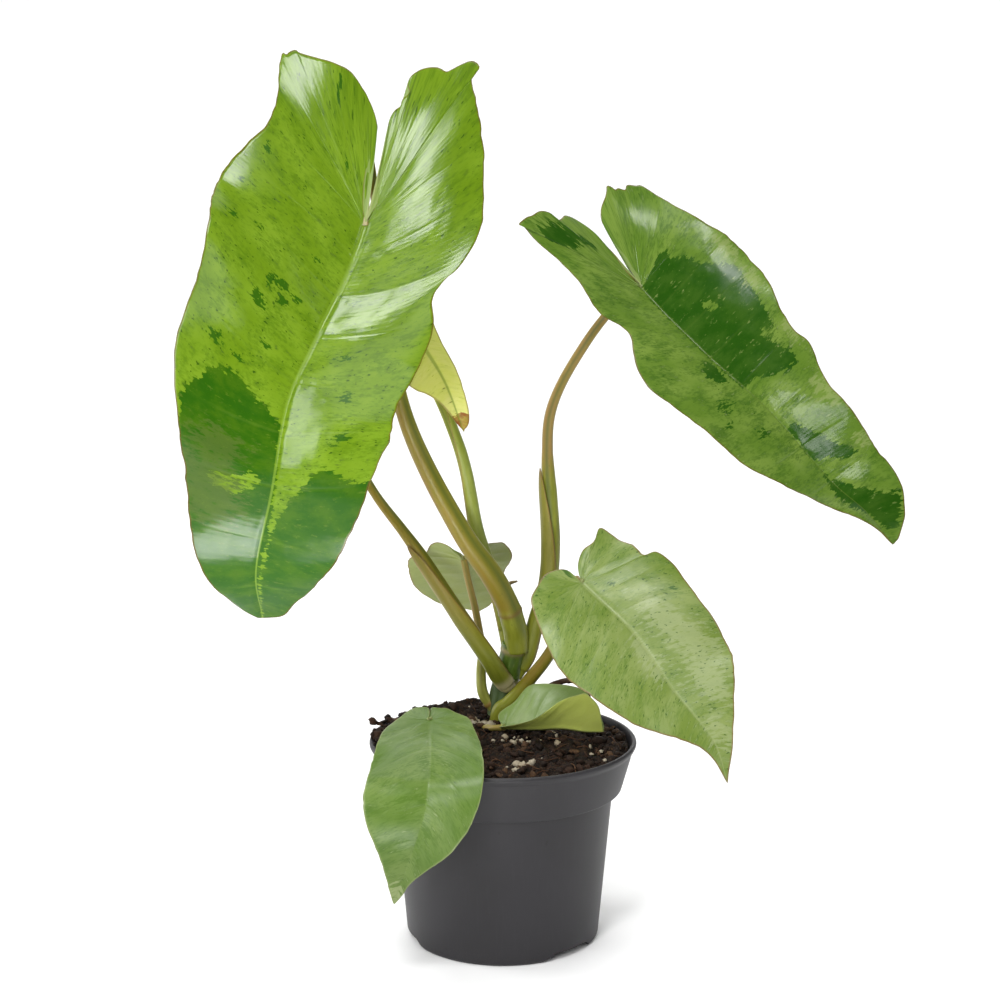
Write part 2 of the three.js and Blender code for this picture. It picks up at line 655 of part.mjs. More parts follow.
// Every leafstalk runs to the underside of its blade's sinus, and is trimmed clear of the blade,
// of the stem that it clasps and of the stalks made before it.
const stalks = {};
let taken = rodOf(STEM, CLEARANCE);
for (const [name, { path }] of Object.entries(STALKS)) {
  const { point, normal } = forms[name].sinus();
  const end = point.clone().addScaledVector(normal, -STALK_SETBACK);
  const whole = [...path, [...end.toArray(), path.at(-1)[3]]];
  const thickness = bladeThickness(name) + 2 * CLEARANCE;
  const down = normal.clone().negate();
  const stalk = rodOf(whole)
    .subtract(taken)
    .subtract(toSolid(thicken(sheets[name], thickness)))
    .trimByPlane(down.toArray(), down.dot(point) + thickness / 2);
  stalks[name] = mainBody(stalk);
  taken = taken.add(rodOf(whole, CLEARANCE));
}
const drySheath = mainBody(rodOf(DRY_SHEATH).subtract(taken));
const holes = [taken, rodOf(BARK_STRIP, CLEARANCE)];

addPiece("pot", toGeometry(potSolid()), "pot", 0.5);
addPiece("soil", toGeometry(soilSolid(holes)), "soil", 0.95);
addPiece("stem", bentRod(STEM), "stem", 0.6);
addPiece("dry_sheath", toGeometry(drySheath), "bark", 0.8);
addPiece("bark_strip", bentRod(BARK_STRIP), "bark", 0.85);
for (const [name, spec] of Object.entries(STALKS)) {
  addPiece(`stalk_${name}`, toGeometry(stalks[name]), spec.colour, 0.45);
}
for (const [name, spec] of Object.entries(BLADES)) {
  addPiece(`blade_${name}`, thicken(sheets[name], bladeThickness(name)), spec.colour, 0.35);
}

export default plant;
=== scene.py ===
"""The looks of a potted climbing aroid with marbled, heart-shaped blades.

Lengths are millimetres until a mesh is made, and metres in the scene. +Z is up, the
plant's front faces -Y, and the origin is the middle of the pot's foot.
"""

import math

import bpy
import numpy as np
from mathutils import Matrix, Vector


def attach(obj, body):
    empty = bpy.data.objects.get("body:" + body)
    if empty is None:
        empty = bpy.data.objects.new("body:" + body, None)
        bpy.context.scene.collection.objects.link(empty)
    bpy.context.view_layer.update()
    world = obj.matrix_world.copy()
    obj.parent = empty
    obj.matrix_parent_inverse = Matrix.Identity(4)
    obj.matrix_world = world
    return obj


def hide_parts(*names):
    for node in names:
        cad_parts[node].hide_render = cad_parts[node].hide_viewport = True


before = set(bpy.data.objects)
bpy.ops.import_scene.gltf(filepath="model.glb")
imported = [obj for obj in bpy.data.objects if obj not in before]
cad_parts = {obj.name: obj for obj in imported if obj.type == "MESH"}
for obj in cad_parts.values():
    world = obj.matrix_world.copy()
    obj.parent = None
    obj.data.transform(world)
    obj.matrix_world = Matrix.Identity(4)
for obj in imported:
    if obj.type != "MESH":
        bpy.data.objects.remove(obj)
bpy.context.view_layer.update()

# A metre, and one unit of the UV maps that measure a surface, in millimetres
METRE = 1000.0
UV_UNIT = 100.0

# The camera: its distance, its downward pitch in radians, the point it looks at, and its lens
CAMERA_DISTANCE = 900
CAMERA_PITCH = 0.18
CAMERA_TARGET = (-1.3, 0, 198.3)
CAMERA_LENS = 73.25

# The pot
POT_HEIGHT = 91
RIM_RADIUS = 60
COLLAR_BOTTOM = 69.3
COLLAR_RADIUS = 53.5
BODY_TOP_RADIUS = 49.5
BASE_RADIUS = 43.4
WALL = 1.6
FLOOR_UNDERSIDE = 3.6
FLOOR_THICKNESS = 1.8
BOSS_RADIUS = 9
FOOT_RING_INNER = 39.6
NOTCH_WIDTH = 28
NOTCH_ANGLES = (45, -75, 165)
CORNER_BEND = 0.6

# The potting mix and what lies loose on it
SOIL_EDGE = 88.8
SOIL_SLOPE = 0.03
SOIL_MOUND = 2.4
SOIL_MOUND_RADIUS = 30
SOIL_HEAP = 3.0
SOIL_RADIUS = 56.2
CRUMB_COUNT = 900
RIM_CRUMB_COUNT = 130
LOOSE_PERLITE = 10
FIBRE_COUNT = 100
FIBRE_LIMIT = 55.3

# The leaf blades
BLADE_THICKNESS = 0.5
LOBE_SHARE = 0.36
VEIN_CROWDING = 1.05
VEIN_SWEEP = 1.35
NERVES = 11
RUFFLE_FADE = 12
STALK_SETBACK = 0.35
RIB_GROOVE = 0.35
KEEL = 1.0
OUTSIDE = -40.0
ISLAND_DEPTH = 0.7
LEAF_IOR = 1.3

# The stalks and the stem: the place of a ring that isn't there, a groove's turn, depth and width where
# there is none, and how far along the stem its nodes are
NO_RING = -50
NO_GROOVE = (0, 0, 20)
STEM_NODES = (32.5, 46.8)

# The seeds of what is roughened or strewn by chance
GRAIN_SEEDS = (3, 4)
SOIL_SEEDS = (5, 6, 7)
STEM_SEED = 11
NIBBLE_SEEDS = (21, 22)
CRUMB_SEEDS = (41, 42)
PERLITE_SEEDS = (43, 44)
FIBRE_SEED = 45
SHEATH_SEED = 51
BARK_SEED = 52

# How finely surfaces are divided: rows, then columns
STALK_GRID = (150, 28)
STEM_GRID = (120, 40)
DRY_GRID = (60, 14)
SHEATH_GRID = (60, 15)
PEBBLE_GRID = (6, 7)
FIBRE_GRID = (9, 5)
SOIL_GRID = (110, 280)
POT_COLUMNS = 320

# The cells after which soft noise repeats
LATTICE = 64

# The studio sweep
SWEEP_START = 1500
SWEEP_BEND = 700
SWEEP_REACH = 4000

# How much brighter a surface in the studio's light looks than its own colour
STUDIO_LIGHT = 1.6


# Curves and grids

def unit(vectors):
    """Each vector divided by its own length."""
    return vectors / np.maximum(np.linalg.norm(vectors, axis=-1, keepdims=True), 1e-12)


def smooth_curve(points, t):
    """A Catmull-Rom curve through the points; t from 0 to 1 steps evenly from point to point."""
    p = np.asarray(points, float)
    ends = np.vstack([2 * p[0] - p[1], p, 2 * p[-1] - p[-2]])
    slot = np.clip(t, 0, 1) * (len(p) - 1)
    i = np.minimum(slot.astype(int), len(p) - 2)
    w = (slot - i)[..., None]
    p0, p1, p2, p3 = (ends[i + k] for k in range(4))
    m1 = (p2 - p0) / 2
    m2 = (p3 - p1) / 2
    return p1 + m1 * w + (3 * (p2 - p1) - 2 * m1 - m2) * w**2 + (2 * (p1 - p2) + m1 + m2) * w**3


def run_length(points):
    """The distance run along a line of points, from its first point."""
    return np.concatenate([[0], np.cumsum(np.linalg.norm(np.diff(points, axis=0), axis=1))])


def evenly_along(points, v):
    """Points at the shares v of a smooth curve's length."""
    fine = smooth_curve(points, np.linspace(0, 1, 800))
    run = run_length(fine)
    return np.stack([np.interp(v * run[-1], run, fine[:, k]) for k in range(fine.shape[1])], -1)


def fade(x, low, high):
    """0 below low and 1 above high, with a smooth step between them."""
    t = np.clip((x - low) / (high - low), 0, 1)
    return t * t * (3 - 2 * t)


def bell(x, width):
    """1 at x = 0, falling off to nothing at about twice the width."""
    return np.exp(-((x / width) ** 2))


def soft_noise(x, y, size, seed):
    """Smooth hills and hollows from -1 to 1: random heights on a square lattice, blended between."""
    heights = np.random.default_rng(seed).uniform(-1, 1, (LATTICE, LATTICE))
    i = np.floor(x / size).astype(int)
    j = np.floor(y / size).astype(int)
    a = fade(x / size - i, 0, 1)
    b = fade(y / size - j, 0, 1)

    def row(at):
        return heights[i % LATTICE, at % LATTICE] * (1 - a) + heights[(i + 1) % LATTICE, at % LATTICE] * a

    return row(j) * (1 - b) + row(j + 1) * b


def grid_quads(rows, columns, around=False):
    """The corners of every cell of a grid of points, counted row by row. around joins the last
    column to the first."""
    i, j = np.meshgrid(np.arange(rows - 1), np.arange(columns if around else columns - 1), indexing="ij")
    right = (j + 1) % columns
    low = i * columns
    high = low + columns
    return np.stack([low + j, low + right, high + right, high + j], -1).reshape(-1, 4)


# Meshes

def weld(points):
    """Counts points at the same place as one. Returns one point of each place, and each point's
    place."""
    _, first, same = np.unique(np.round(points, 4), axis=0, return_index=True, return_inverse=True)
    return first, same.reshape(-1)


def make_mesh(name, points, quads, maps=None, values=None):
    """A smooth mesh from points in mm and cells of four corners. A cell with two corners in one
    place becomes a triangle.

    maps are UV layers and values are attributes, with one entry per point.
    """
    first, same = weld(points)
    cells = same[quads]
    keep = cells != np.roll(cells, 1, axis=1)
    whole = (keep.sum(1) >= 3) & (cells[:, 0] != cells[:, 2]) & (cells[:, 1] != cells[:, 3])
    keep = keep[whole]
    used, corners = np.unique(cells[whole][keep], return_inverse=True)
    first = first[used]
    sources = quads[whole][keep]
    starts = np.concatenate([[0], np.cumsum(keep.sum(1))[:-1]])
    mesh = bpy.data.meshes.new(name)
    mesh.vertices.add(len(first))
    mesh.vertices.foreach_set("co", (points[first] / METRE).astype(np.float32).ravel())
    mesh.loops.add(len(corners))
    mesh.loops.foreach_set("vertex_index", corners.astype(np.int32))
    mesh.polygons.add(len(keep))
    mesh.polygons.foreach_set("loop_start", starts.astype(np.int32))
    mesh.update(calc_edges=True)
    for label, uv in (maps or {}).items():
        layer = mesh.uv_layers.new(name=label)
        layer.data.foreach_set("uv", uv[sources].astype(np.float32).ravel())
    for label, value in (values or {}).items():
        layer = mesh.attributes.new(label, "FLOAT", "POINT")
        layer.data.foreach_set("value", value[first].astype(np.float32))
    mesh.shade_smooth()
    return mesh


def add_object(name, data):
    """Puts a mesh, a light or a camera in the scene."""
    made = bpy.data.objects.new(name, data)
    bpy.context.scene.collection.objects.link(made)
    return made


def add_piece(name, mesh, material, nodes=()):
    """Puts a mesh in the scene, on the part's one body, for the frame's nodes that it stands for."""
    piece = add_object(name, mesh)
    mesh.materials.append(material)
    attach(piece, "root")
    if nodes:
        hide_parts(*nodes)


def join_meshes(parts):
    """Several (points, quads, maps, values) laid after one another as one."""
    counts = np.cumsum([0] + [len(part[0]) for part in parts])
    quads = np.concatenate([part[1] + shift for part, shift in zip(parts, counts)])
    maps, values = (
        {key: np.concatenate([part[k][key] for part in parts]) for key in parts[0][k]} for k in (2, 3)
    )
    return np.concatenate([part[0] for part in parts]), quads, maps, values


def mean_direction(places, vectors, same):
    """At each point, the mean direction of the vectors that meet at its place, long ones counting
    for more."""
    total = np.zeros((same.max() + 1, 3))
    for met in places:
        np.add.at(total, met, vectors)
    return unit(total)[same]


def thick_sheet(points, quads, above, below, bulge):
    """A closed sheet from an open one.

    The upper face lies above the points along their normals and the lower face below them. A rim
    of two strips closes the margin, its middle bulging outward. Returns the points, the cells and,
    for each point, its number on the open sheet and its side: 1 above, 0 in the rim, -1 below.
    """
    _, same = weld(points)
    cells = same[quads]
    facing = np.cross(points[quads[:, 2]] - points[quads[:, 0]], points[quads[:, 3]] - points[quads[:, 1]])
    normals = mean_direction(cells.T, facing, same)
    count = len(points)
    size = same.max() + 1
    heads = cells.ravel()
    tails = np.roll(cells, -1, axis=1).ravel()
    open_edge = (heads != tails) & ~np.isin(heads * size + tails, tails * size + heads)
    a = quads.ravel()[open_edge]
    b = np.roll(quads, -1, axis=1).ravel()[open_edge]
    outward = unit(np.cross(points[b] - points[a], (normals[a] + normals[b]) / 2))
    push = mean_direction((heads[open_edge], tails[open_edge]), outward, same)
    upper = points + normals * above[:, None]
    lower = points - normals * below[:, None]
    rim = (upper + lower) / 2 + push * bulge
    low = count
    mid = 2 * count
    strips = [np.stack([b, a, a + mid, b + mid], -1), np.stack([b + mid, a + mid, a + low, b + low], -1)]
    faces = np.concatenate([quads, quads[:, ::-1] + low, *strips])
    numbers = np.tile(np.arange(count), 3)
    side = np.repeat([1.0, -1.0, 0.0], count)
    return np.concatenate([upper, lower, rim]), faces, numbers, side


# The leaf blades

class BladeForm:
    """A blade's rib with its frame. along is the distance in mm on the rib from the sinus, where the
    stalk joins, and out the distance from the rib across a half. Half 0 is on the left as the blade
    hangs facing the viewer."""

    def __init__(self, spec):
        t = np.linspace(0, 1, 1200)
        self.rib = smooth_curve(spec["stations"], t)
        self.folds = np.radians(smooth_curve(spec["folds"], t))
        self.curls = np.radians(np.array(spec["curls"], float))
        self.tangent = unit(np.gradient(self.rib, t, axis=0))
        self.across = unit(np.cross(self.tangent, smooth_curve(spec["faces"], t)))
        self.normal = unit(np.cross(self.across, self.tangent))
        run = run_length(self.rib)
        self.along = run - np.interp(1 / (len(spec["stations"]) - 1), t, run)
        self.length = self.along[-1]

    def read(self, table, along):
        """A table's rows, blended, at each distance along the rib."""
        return np.stack([np.interp(along, self.along, table[:, k]) for k in range(table.shape[1])], -1)

    def place(self, along, out, half, lift):
        """The point on the blade: out across one half, which rises from flat by the fold and bends
        back down along an arc by the curl."""
        folds = self.read(self.folds, along)
        fold = np.where(half == 0, folds[..., 0], folds[..., 1])
        curl = self.curls[half]
        reach = (np.sin(fold) - np.sin(fold - curl * out)) / curl
        rise = (np.cos(fold - curl * out) - np.cos(fold)) / curl
        beyond = np.minimum(along - self.along[0], 0)
        return (
            self.read(self.rib, along)
            + self.read(self.tangent, along) * beyond[..., None]
            + unit(self.read(self.across, along)) * np.where(half == 0, reach, -reach)[..., None]
            + unit(self.read(self.normal, along)) * (rise + lift)[..., None]
        )

    def stalk_end(self):
        """The point on the underside of the sinus where the stalk ends."""
        normal = unit(self.read(self.normal, 0.0))
        return self.read(self.rib, 0.0) - normal * STALK_SETBACK


def outline_distance(x, y, outline):
    """The distance from each point to a closed outline of corners, above 0 inside it."""
    corners = np.array(outline, float)
    nearest = np.full(x.shape, np.inf)
    inside = np.zeros(x.shape, bool)
    for (x0, y0), (x1, y1) in zip(corners, np.roll(corners, -1, axis=0)):
        dx = x1 - x0
        dy = y1 - y0
        t = np.clip(((x - x0) * dx + (y - y0) * dy) / (dx * dx + dy * dy), 0, 1)
        nearest = np.minimum(nearest, np.hypot(x - x0 - t * dx, y - y0 - t * dy))
        crosses = (y0 > y) != (y1 > y)
        inside ^= crosses & (x < x0 + (y - y0) * dx / (dy if dy else 1e-9))
    return np.where(inside, nearest, -nearest)


def sector_depth(start, out, sectors, islands):
    """How far each point lies inside the dark sectors of the blade, held just below 0 in their light
    islands, so that dark and light mix there."""
    depth = np.full(start.shape, OUTSIDE)
    for outline in sectors:
        depth = np.maximum(depth, outline_distance(start, out, outline))
    for outline in islands:
        depth = np.minimum(depth, np.maximum(-outline_distance(start, out, outline), -ISLAND_DEPTH))
    return depth


def swelling(start, out, swells):
    """The height of the blade's broad swells, in mm: smooth domes, each (start, out, reach along the
    rib, reach across, height), about half as high at their reach and gone at twice that."""
    total = np.zeros(start.shape)
    for s, d, ds, dd, height in swells:
        off = np.sqrt(0.05 + ((start - s) / ds) ** 2 + ((out - d) / dd) ** 2)
        total += height * (1 - fade(off, 0, 2))
    return total


def soft_spots(start, out, spots):
    """The sum of soft spots, each (start, out, reach along the rib, reach across): 1 in its middle and
    about a third at its reach. Where they crowd, the sum is held to 1.2."""
    total = np.zeros(start.shape)
    for s, d, ds, dd in spots:
        total += np.exp(-(((start - s) / ds) ** 2) - ((out - d) / dd) ** 2)
    return np.minimum(total, 1.2)


def blade_sheet(form, spec):
    """The blade's middle surface, on a grid that runs from the sinus round each lobe to the tip and
    from one margin across the rib to the other. Every row is a lateral vein's path: it leaves the rib
    at its start and sweeps toward the tip.

    Returns the points, the cells and each point's veins map (start, out), laterals map (count of
    lateral veins passed, share of the way out), and its distances along the rib and to the margin.
    """
    rows, columns = spec["grid"]
    v, w = np.meshgrid(np.linspace(0, 1, rows + 1), np.linspace(-1, 1, 2 * columns + 1), indexing="ij")
    half = np.where(w > 0, 0, 1)
    share = np.abs(w)
    edges = [evenly_along(outline, v[:, 0]) for outline in spec["halves"]]
    for edge, seed in zip(edges, NIBBLE_SEEDS):
        around = run_length(edge)
        nibbles = 0.3 * soft_noise(around, 0 * around, 7, seed)
        nibbles += 0.2 * soft_noise(around, 0 * around, 3, seed)
        edge[:, 1] += nibbles * np.minimum(edge[:, 1] / RUFFLE_FADE, 1)
    edge = np.where((half == 0)[..., None], edges[0][:, None], edges[1][:, None])
    on_rib = np.clip((v - LOBE_SHARE) / (1 - LOBE_SHARE), 0, 1)
    start = form.length * on_rib**VEIN_CROWDING
    sweep = 1 + (VEIN_SWEEP - 1) * np.minimum(4 * on_rib, 1)
    along = start + (edge[..., 0] - start) * share**sweep
    out = edge[..., 1] * share
    amplitude, count, phase = spec["wave"]
    ruffle = amplitude * share**3 * np.sin(2 * np.pi * count * v + phase + 2 * half)
    ruffle *= np.minimum(edge[..., 1] / RUFFLE_FADE, 1)
    points = form.place(along, out, half, ruffle)
    lobe = run_length(edges[0])[-1] * LOBE_SHARE * 0.6
    on_lobe = v < LOBE_SHARE
    before = v / LOBE_SHARE - 1
    start = np.where(on_lobe, before * lobe, start)
    laterals = np.where(on_lobe, before * spec["lobe_veins"], on_rib**0.9 * spec["veins"])
    out = np.where(half == 0, out, -out)
    maps = {
        "veins": np.stack([start, out], -1).reshape(-1, 2) / UV_UNIT,
        "laterals": np.stack([laterals, share], -1).reshape(-1, 2),
    }
    rim = np.where((half == 0)[..., None], points[:, -1:], points[:, :1])
    margin = np.linalg.norm(points - rim, axis=-1).ravel()
    return points.reshape(-1, 3), grid_quads(rows + 1, 2 * columns + 1), maps, along.ravel(), margin


def blade_mesh(name, spec):
    """The blade as a closed thin sheet: a sunken midrib and laterals above, a raised midrib below, the
    flesh between the laterals puffed up a little, and a margin that thins to an edge."""
    form = BladeForm(spec)
    points, quads, maps, along, margin = blade_sheet(form, spec)
    start, out = (maps["veins"] * UV_UNIT).T
    laterals, share = maps["laterals"].T
    taper = np.clip(1 - along / form.length, 0, 1)
    inside = 1 - share**4
    quilt = spec["quilt"] * (np.abs(np.sin(np.pi * laterals)) ** 0.8 - 0.5)
    quilt = quilt * fade(share, 0.02, 0.3) * inside
    coarse, fine = (soft_noise(start, out, size, seed) for size, seed in zip((9, 3.2), GRAIN_SEEDS))
    grain = 0.1 * coarse + 0.05 * fine
    body = quilt + grain * inside + swelling(start, out, spec.get("swells", ()))
    channel = -RIB_GROOVE * bell(out, 0.9) * taper**0.5 + 0.08 * bell(np.abs(out) - 2.2, 1.2)
    channel *= spec.get("rib_relief", 1)
    keel = KEEL * bell(out, 1.2 + 0.8 * taper) * taper**0.7
    half_thickness = BLADE_THICKNESS / 2 * (1 - 0.6 * share**12)
    above = half_thickness + body + channel
    below = half_thickness - body + keel
    every, faces, numbers, side = thick_sheet(points, quads, above, below, 0.12)
    fields = {
        "sector": sector_depth(start, out, spec.get("sectors", ()), spec.get("islands", ())),
        "flecks": soft_spots(start, out, spec.get("flecks", ())),
        "patches": soft_spots(start, out, spec.get("patches", ())),
        "margin": margin,
    }
    values = {key: value[numbers] for key, value in fields.items()}
    values["upper"] = side / 2 + 0.5
    return make_mesh(name, every, faces, {key: uv[numbers] for key, uv in maps.items()}, values)


# The stalks, their sheaths and the stem

def rod_frame(path, t):
    """A rod's centre line at the shares t of its path, the directions square to it toward the viewer's
    left and toward the viewer, and its radius."""
    path = np.asarray(path, float)
    centre = smooth_curve(path[:, :3], t)
    tangent = unit(smooth_curve(path[:, :3], t + 5e-4) - smooth_curve(path[:, :3], t - 5e-4))
    tangent[0] = unit(centre[1] - centre[0])
    tangent[-1] = unit(centre[-1] - centre[-2])
    left = unit(np.cross([0, -1, 0], tangent))
    front = np.cross(tangent, left)
    radius = np.interp(t * (len(path) - 1), np.arange(len(path)), path[:, 3])
    return centre, left, front, radius


def off_centre(centre, left, front, turn, reach):
    """Points beside a rod's centre line: out by the reach, turned by degrees from the front, above 0
    to the left."""
    angle = np.radians(turn)[..., None]
    aside = front[:, None] * np.cos(angle) + left[:, None] * np.sin(angle)
    return centre[:, None] + reach[..., None] * aside


def rod_skin(path, grid, relief):
    """A rod's closed surface: rings of points round the path, pushed out by relief(turn, run, share),
    with a middle point at each end. turn is the angle in degrees from the front, above 0 to the left."""
    rings, sides = grid
    t = np.linspace(0, 1, rings)
    centre, left, front, radius = rod_frame(path, t)
    index = np.clip(np.arange(rings + 2) - 1, 0, rings - 1)
    turn = np.linspace(-180, 180, sides + 1)[None, :] + np.zeros((rings + 2, 1))
    run = run_length(centre)[index][:, None] + 0 * turn
    share = np.concatenate([[0], t, [1]])[:, None] + 0 * turn
    reach = radius[index][:, None] + relief(turn, run, share)
    reach[[0, -1]] = 0
    points = off_centre(centre[index], left[index], front[index], turn, reach)
    skin = np.stack([np.radians(turn) * radius.mean(), run], -1).reshape(-1, 2) / UV_UNIT
    quads = grid_quads(rings + 2, sides + 1)[:, ::-1]
    return points.reshape(-1, 3), quads, skin, turn.ravel(), run.ravel(), share.ravel()


def sheath_skin(path, spec):
    """A thin wing that wraps part of a stalk from its base up to a pointed tip that stands off it."""
    rows, columns = SHEATH_GRID
    low, high = spec["reach"]
    height = np.linspace(0, 1, rows)
    centre, left, front, radius = rod_frame(path, low + (high - low) * height)
    width = spec["width"] * (1 - height**3) ** 0.8
    w = np.linspace(-1, 1, columns)
    s = height[:, None]
    turn = spec["turn"] + spec["twist"] * s + width[:, None] * w
    lift = 0.25 + spec["flare"] * s**6 + 0.5 * np.abs(w) ** 4 * (1 - s**2)
    points = off_centre(centre, left, front, turn, radius[:, None] + lift).reshape(-1, 3)
    skin = np.stack([np.radians(turn) * radius.mean(), run_length(centre)[:, None] + 0 * turn], -1)
    flat = np.full(len(points), 0.2)
    every, faces, numbers, _ = thick_sheet(points, grid_quads(rows, columns)[:, ::-1], flat, flat, 0.08)
    edge = np.abs(np.tile(w, rows))[numbers]
    return every, faces, skin.reshape(-1, 2)[numbers] / UV_UNIT, edge, np.repeat(height, columns)[numbers]


def in_groove(turn, share, spec, spread=1.0):
    """How deep in the groove down one side of a stalk a point lies, from 0 to 1."""
    turn_at, _, width = spec.get("groove", NO_GROOVE)
    off = (turn - turn_at + 180) % 360 - 180
    return bell(off, width * spread) * fade(share, 0.02, 0.2)


def stalk_mesh(name, spec, end):
    """A leafstalk from its base to the underside of its blade. Where it has them, a shallow groove
    runs down one side, a low ring marks where the papery part ends, and a sheath wraps it."""
    ring_at = spec.get("ring", NO_RING)

    def relief(turn, run, share):
        depth = spec.get("groove", NO_GROOVE)[1]
        return 0.35 * bell(run - ring_at, 0.9) - depth * in_groove(turn, share, spec)

    path = [*spec["path"], [*end, spec["path"][-1][3]]]
    points, quads, skin, turn, run, share = rod_skin(path, STALK_GRID, relief)
    brown_side = 0.5 + 0.5 * np.cos(np.radians(turn - spec.get("brown_side", 90)))
    cream_to = spec.get("cream", 0)
    in_front = 1 - fade(np.abs(turn), 40, 110)
    cream = (1 - fade(run, 0.3 * cream_to, cream_to + 0.1)) * in_front * (cream_to > 0)
    values = {
        "groove": in_groove(turn, share, spec, 0.8),
        "blush": fade(run, *spec.get("blush", (0, 0.1))) * (0.35 + 0.65 * brown_side),
        "rim": bell(run - ring_at, 1.2),
        "cream": cream + spec.get("pale_top", 0) * fade(share, 0.86, 0.9) * (1 - fade(turn, 20, 60)),
    }
    parts = [(points, quads, {"skin": skin}, values)]
    if "sheath" in spec:
        points, quads, skin, edge, height = sheath_skin(path, spec["sheath"])
        values = {
            "groove": 0.5 * (1 - edge),
            "blush": spec["sheath"]["blush"] * fade(height, 0.2, 0.9),
            "rim": np.maximum(fade(edge, 0.8, 1), fade(height, 0.93, 1)),
            "cream": (1 - fade(height, 0.04, 0.12)) * (cream_to > 0),
        }
        parts.append((points, quads, {"skin": skin}, values))
    return make_mesh(name, *join_meshes(parts))


def stem_mesh(name):
    """The short stem: two internodes that swell at their nodes, each node ringed by a leaf scar."""

    def relief(turn, run, share):
        rings = sum(0.5 * bell(run - at, 1.6) + 0.3 * bell(run - at - 2.6, 0.7) for at in STEM_NODES)
        return rings + 0.15 * soft_noise(turn / 6, run, 5, STEM_SEED)

    points, quads, skin, _, run, _ = rod_skin(STEM, STEM_GRID, relief)
    scars = sum(bell(run - at, 1.4) for at in STEM_NODES)
    return make_mesh(name, points, quads, {"skin": skin}, {"node": np.minimum(scars, 1), "height": run})


def rough_rod_mesh(name, path, roughness, seed):
    """A dry rod with a cracked, uneven skin: two sizes of soft noise push its rings in and out."""

    def relief(turn, run, share):
        around = turn / 40
        broad = soft_noise(around, run, 3.5, seed) * np.cos(np.radians(turn)) ** 2
        return roughness * (broad + 0.5 * soft_noise(around * 3, run, 1.3, seed + 1) - 0.4)

    points, quads, skin, _, _, _ = rod_skin(path, DRY_GRID, relief)
    return make_mesh(name, points, quads, {"skin": skin})


# The pot

def rounded(profile, radius):
    """A profile with each corner replaced by a short bend that starts radius before it, or at most
    halfway to its neighbour."""
    p = np.array(profile, float)
    bent = [p[:1]]
    t = np.linspace(0, 1, 6)[:, None]
    for before, corner, after in zip(p[:-2], p[1:-1], p[2:]):
        into = before - corner
        onward = after - corner
        start = corner + into * min(radius / np.linalg.norm(into), 0.5)
        end = corner + onward * min(radius / np.linalg.norm(onward), 0.5)
        bent.append((1 - t) ** 2 * start + 2 * t * (1 - t) * corner + t**2 * end)
    bent.append(p[-1:])
    return np.concatenate(bent)


def lathe(profile, columns):
    """A profile of (radius, height) carried once round the Z axis. Returns points, cells and turn."""
    turn = np.linspace(0, 2 * np.pi, columns, endpoint=False)
    radius = profile[:, :1]
    points = np.stack([radius * np.cos(turn), radius * np.sin(turn), profile[:, 1:] + 0 * turn], -1)
    turn = turn[None, :] + np.zeros((len(profile), 1))
    return points.reshape(-1, 3), grid_quads(len(profile), columns, around=True), turn.ravel()


def pot_mesh(name):
    """The pot's wall, collar, rim and raised floor as one lathe. Over each drain notch the foot
    ring is lifted to an arch with rounded shoulders that ends just below the floor."""
    floor = FLOOR_UNDERSIDE + FLOOR_THICKNESS
    corners = [
        (0, 0), (BOSS_RADIUS, 0), (BOSS_RADIUS + 1.5, FLOOR_UNDERSIDE),
        (FOOT_RING_INNER - 0.8, FLOOR_UNDERSIDE), (FOOT_RING_INNER, 0), (BASE_RADIUS - 1.2, 0),
        (BASE_RADIUS, 1.2), (BASE_RADIUS + 0.2, 3.6), (BODY_TOP_RADIUS, COLLAR_BOTTOM - 0.9),
        (COLLAR_RADIUS - 0.5, COLLAR_BOTTOM - 0.3), (COLLAR_RADIUS, COLLAR_BOTTOM),
        (RIM_RADIUS - 1.5, POT_HEIGHT - 4), (RIM_RADIUS - 0.2, POT_HEIGHT - 2.2),
        (RIM_RADIUS, POT_HEIGHT - 1), (RIM_RADIUS - 0.8, POT_HEIGHT),
        (RIM_RADIUS - WALL - 0.4, POT_HEIGHT - 0.4), (COLLAR_RADIUS - WALL, COLLAR_BOTTOM + 1.2),
        (BODY_TOP_RADIUS - WALL, COLLAR_BOTTOM - 1.6), (BASE_RADIUS - WALL, floor + 1.5),
        (BASE_RADIUS - WALL - 1.5, floor), (0, floor),
    ]
    points, quads, turn = lathe(rounded(corners, CORNER_BEND), POT_COLUMNS)
    x, y, z = points.T
    radius = np.hypot(x, y)
    for degrees in NOTCH_ANGLES:
        off = turn - np.radians(degrees - 90)
        across = np.abs(radius * np.sin(off))
        half = NOTCH_WIDTH / 2
        arch = (FLOOR_UNDERSIDE - 0.1) * (1 - 0.65 * fade(across, 0.6 * half, half)) * (across < half)
        cut = (np.cos(off) > 0) & (radius > FOOT_RING_INNER - 1) & (z < arch)
        z = np.where(cut, arch, z)
    return make_mesh(name, np.stack([x, y, z], -1), quads)


# The potting mix

def soil_height(x, y):
    """The height of the mix: a low mound with lumps of two sizes, heaped against the rim at the back
    and left."""
    mound = SOIL_MOUND * np.exp(-(x * x + y * y) / (2 * SOIL_MOUND_RADIUS**2))
    lumps = 0.7 * np.sin(0.31 * x + 0.9) * np.cos(0.27 * y) + 0.4 * np.sin(0.7 * x - 0.5 * y)
    radius = np.hypot(x, y)
    heap = SOIL_HEAP * fade(radius, 32, 50) * fade(y - 0.6 * x, 6, 38) * (1 - 0.5 * fade(radius, 52, 56))
    return SOIL_EDGE + SOIL_SLOPE * y + mound + lumps + heap


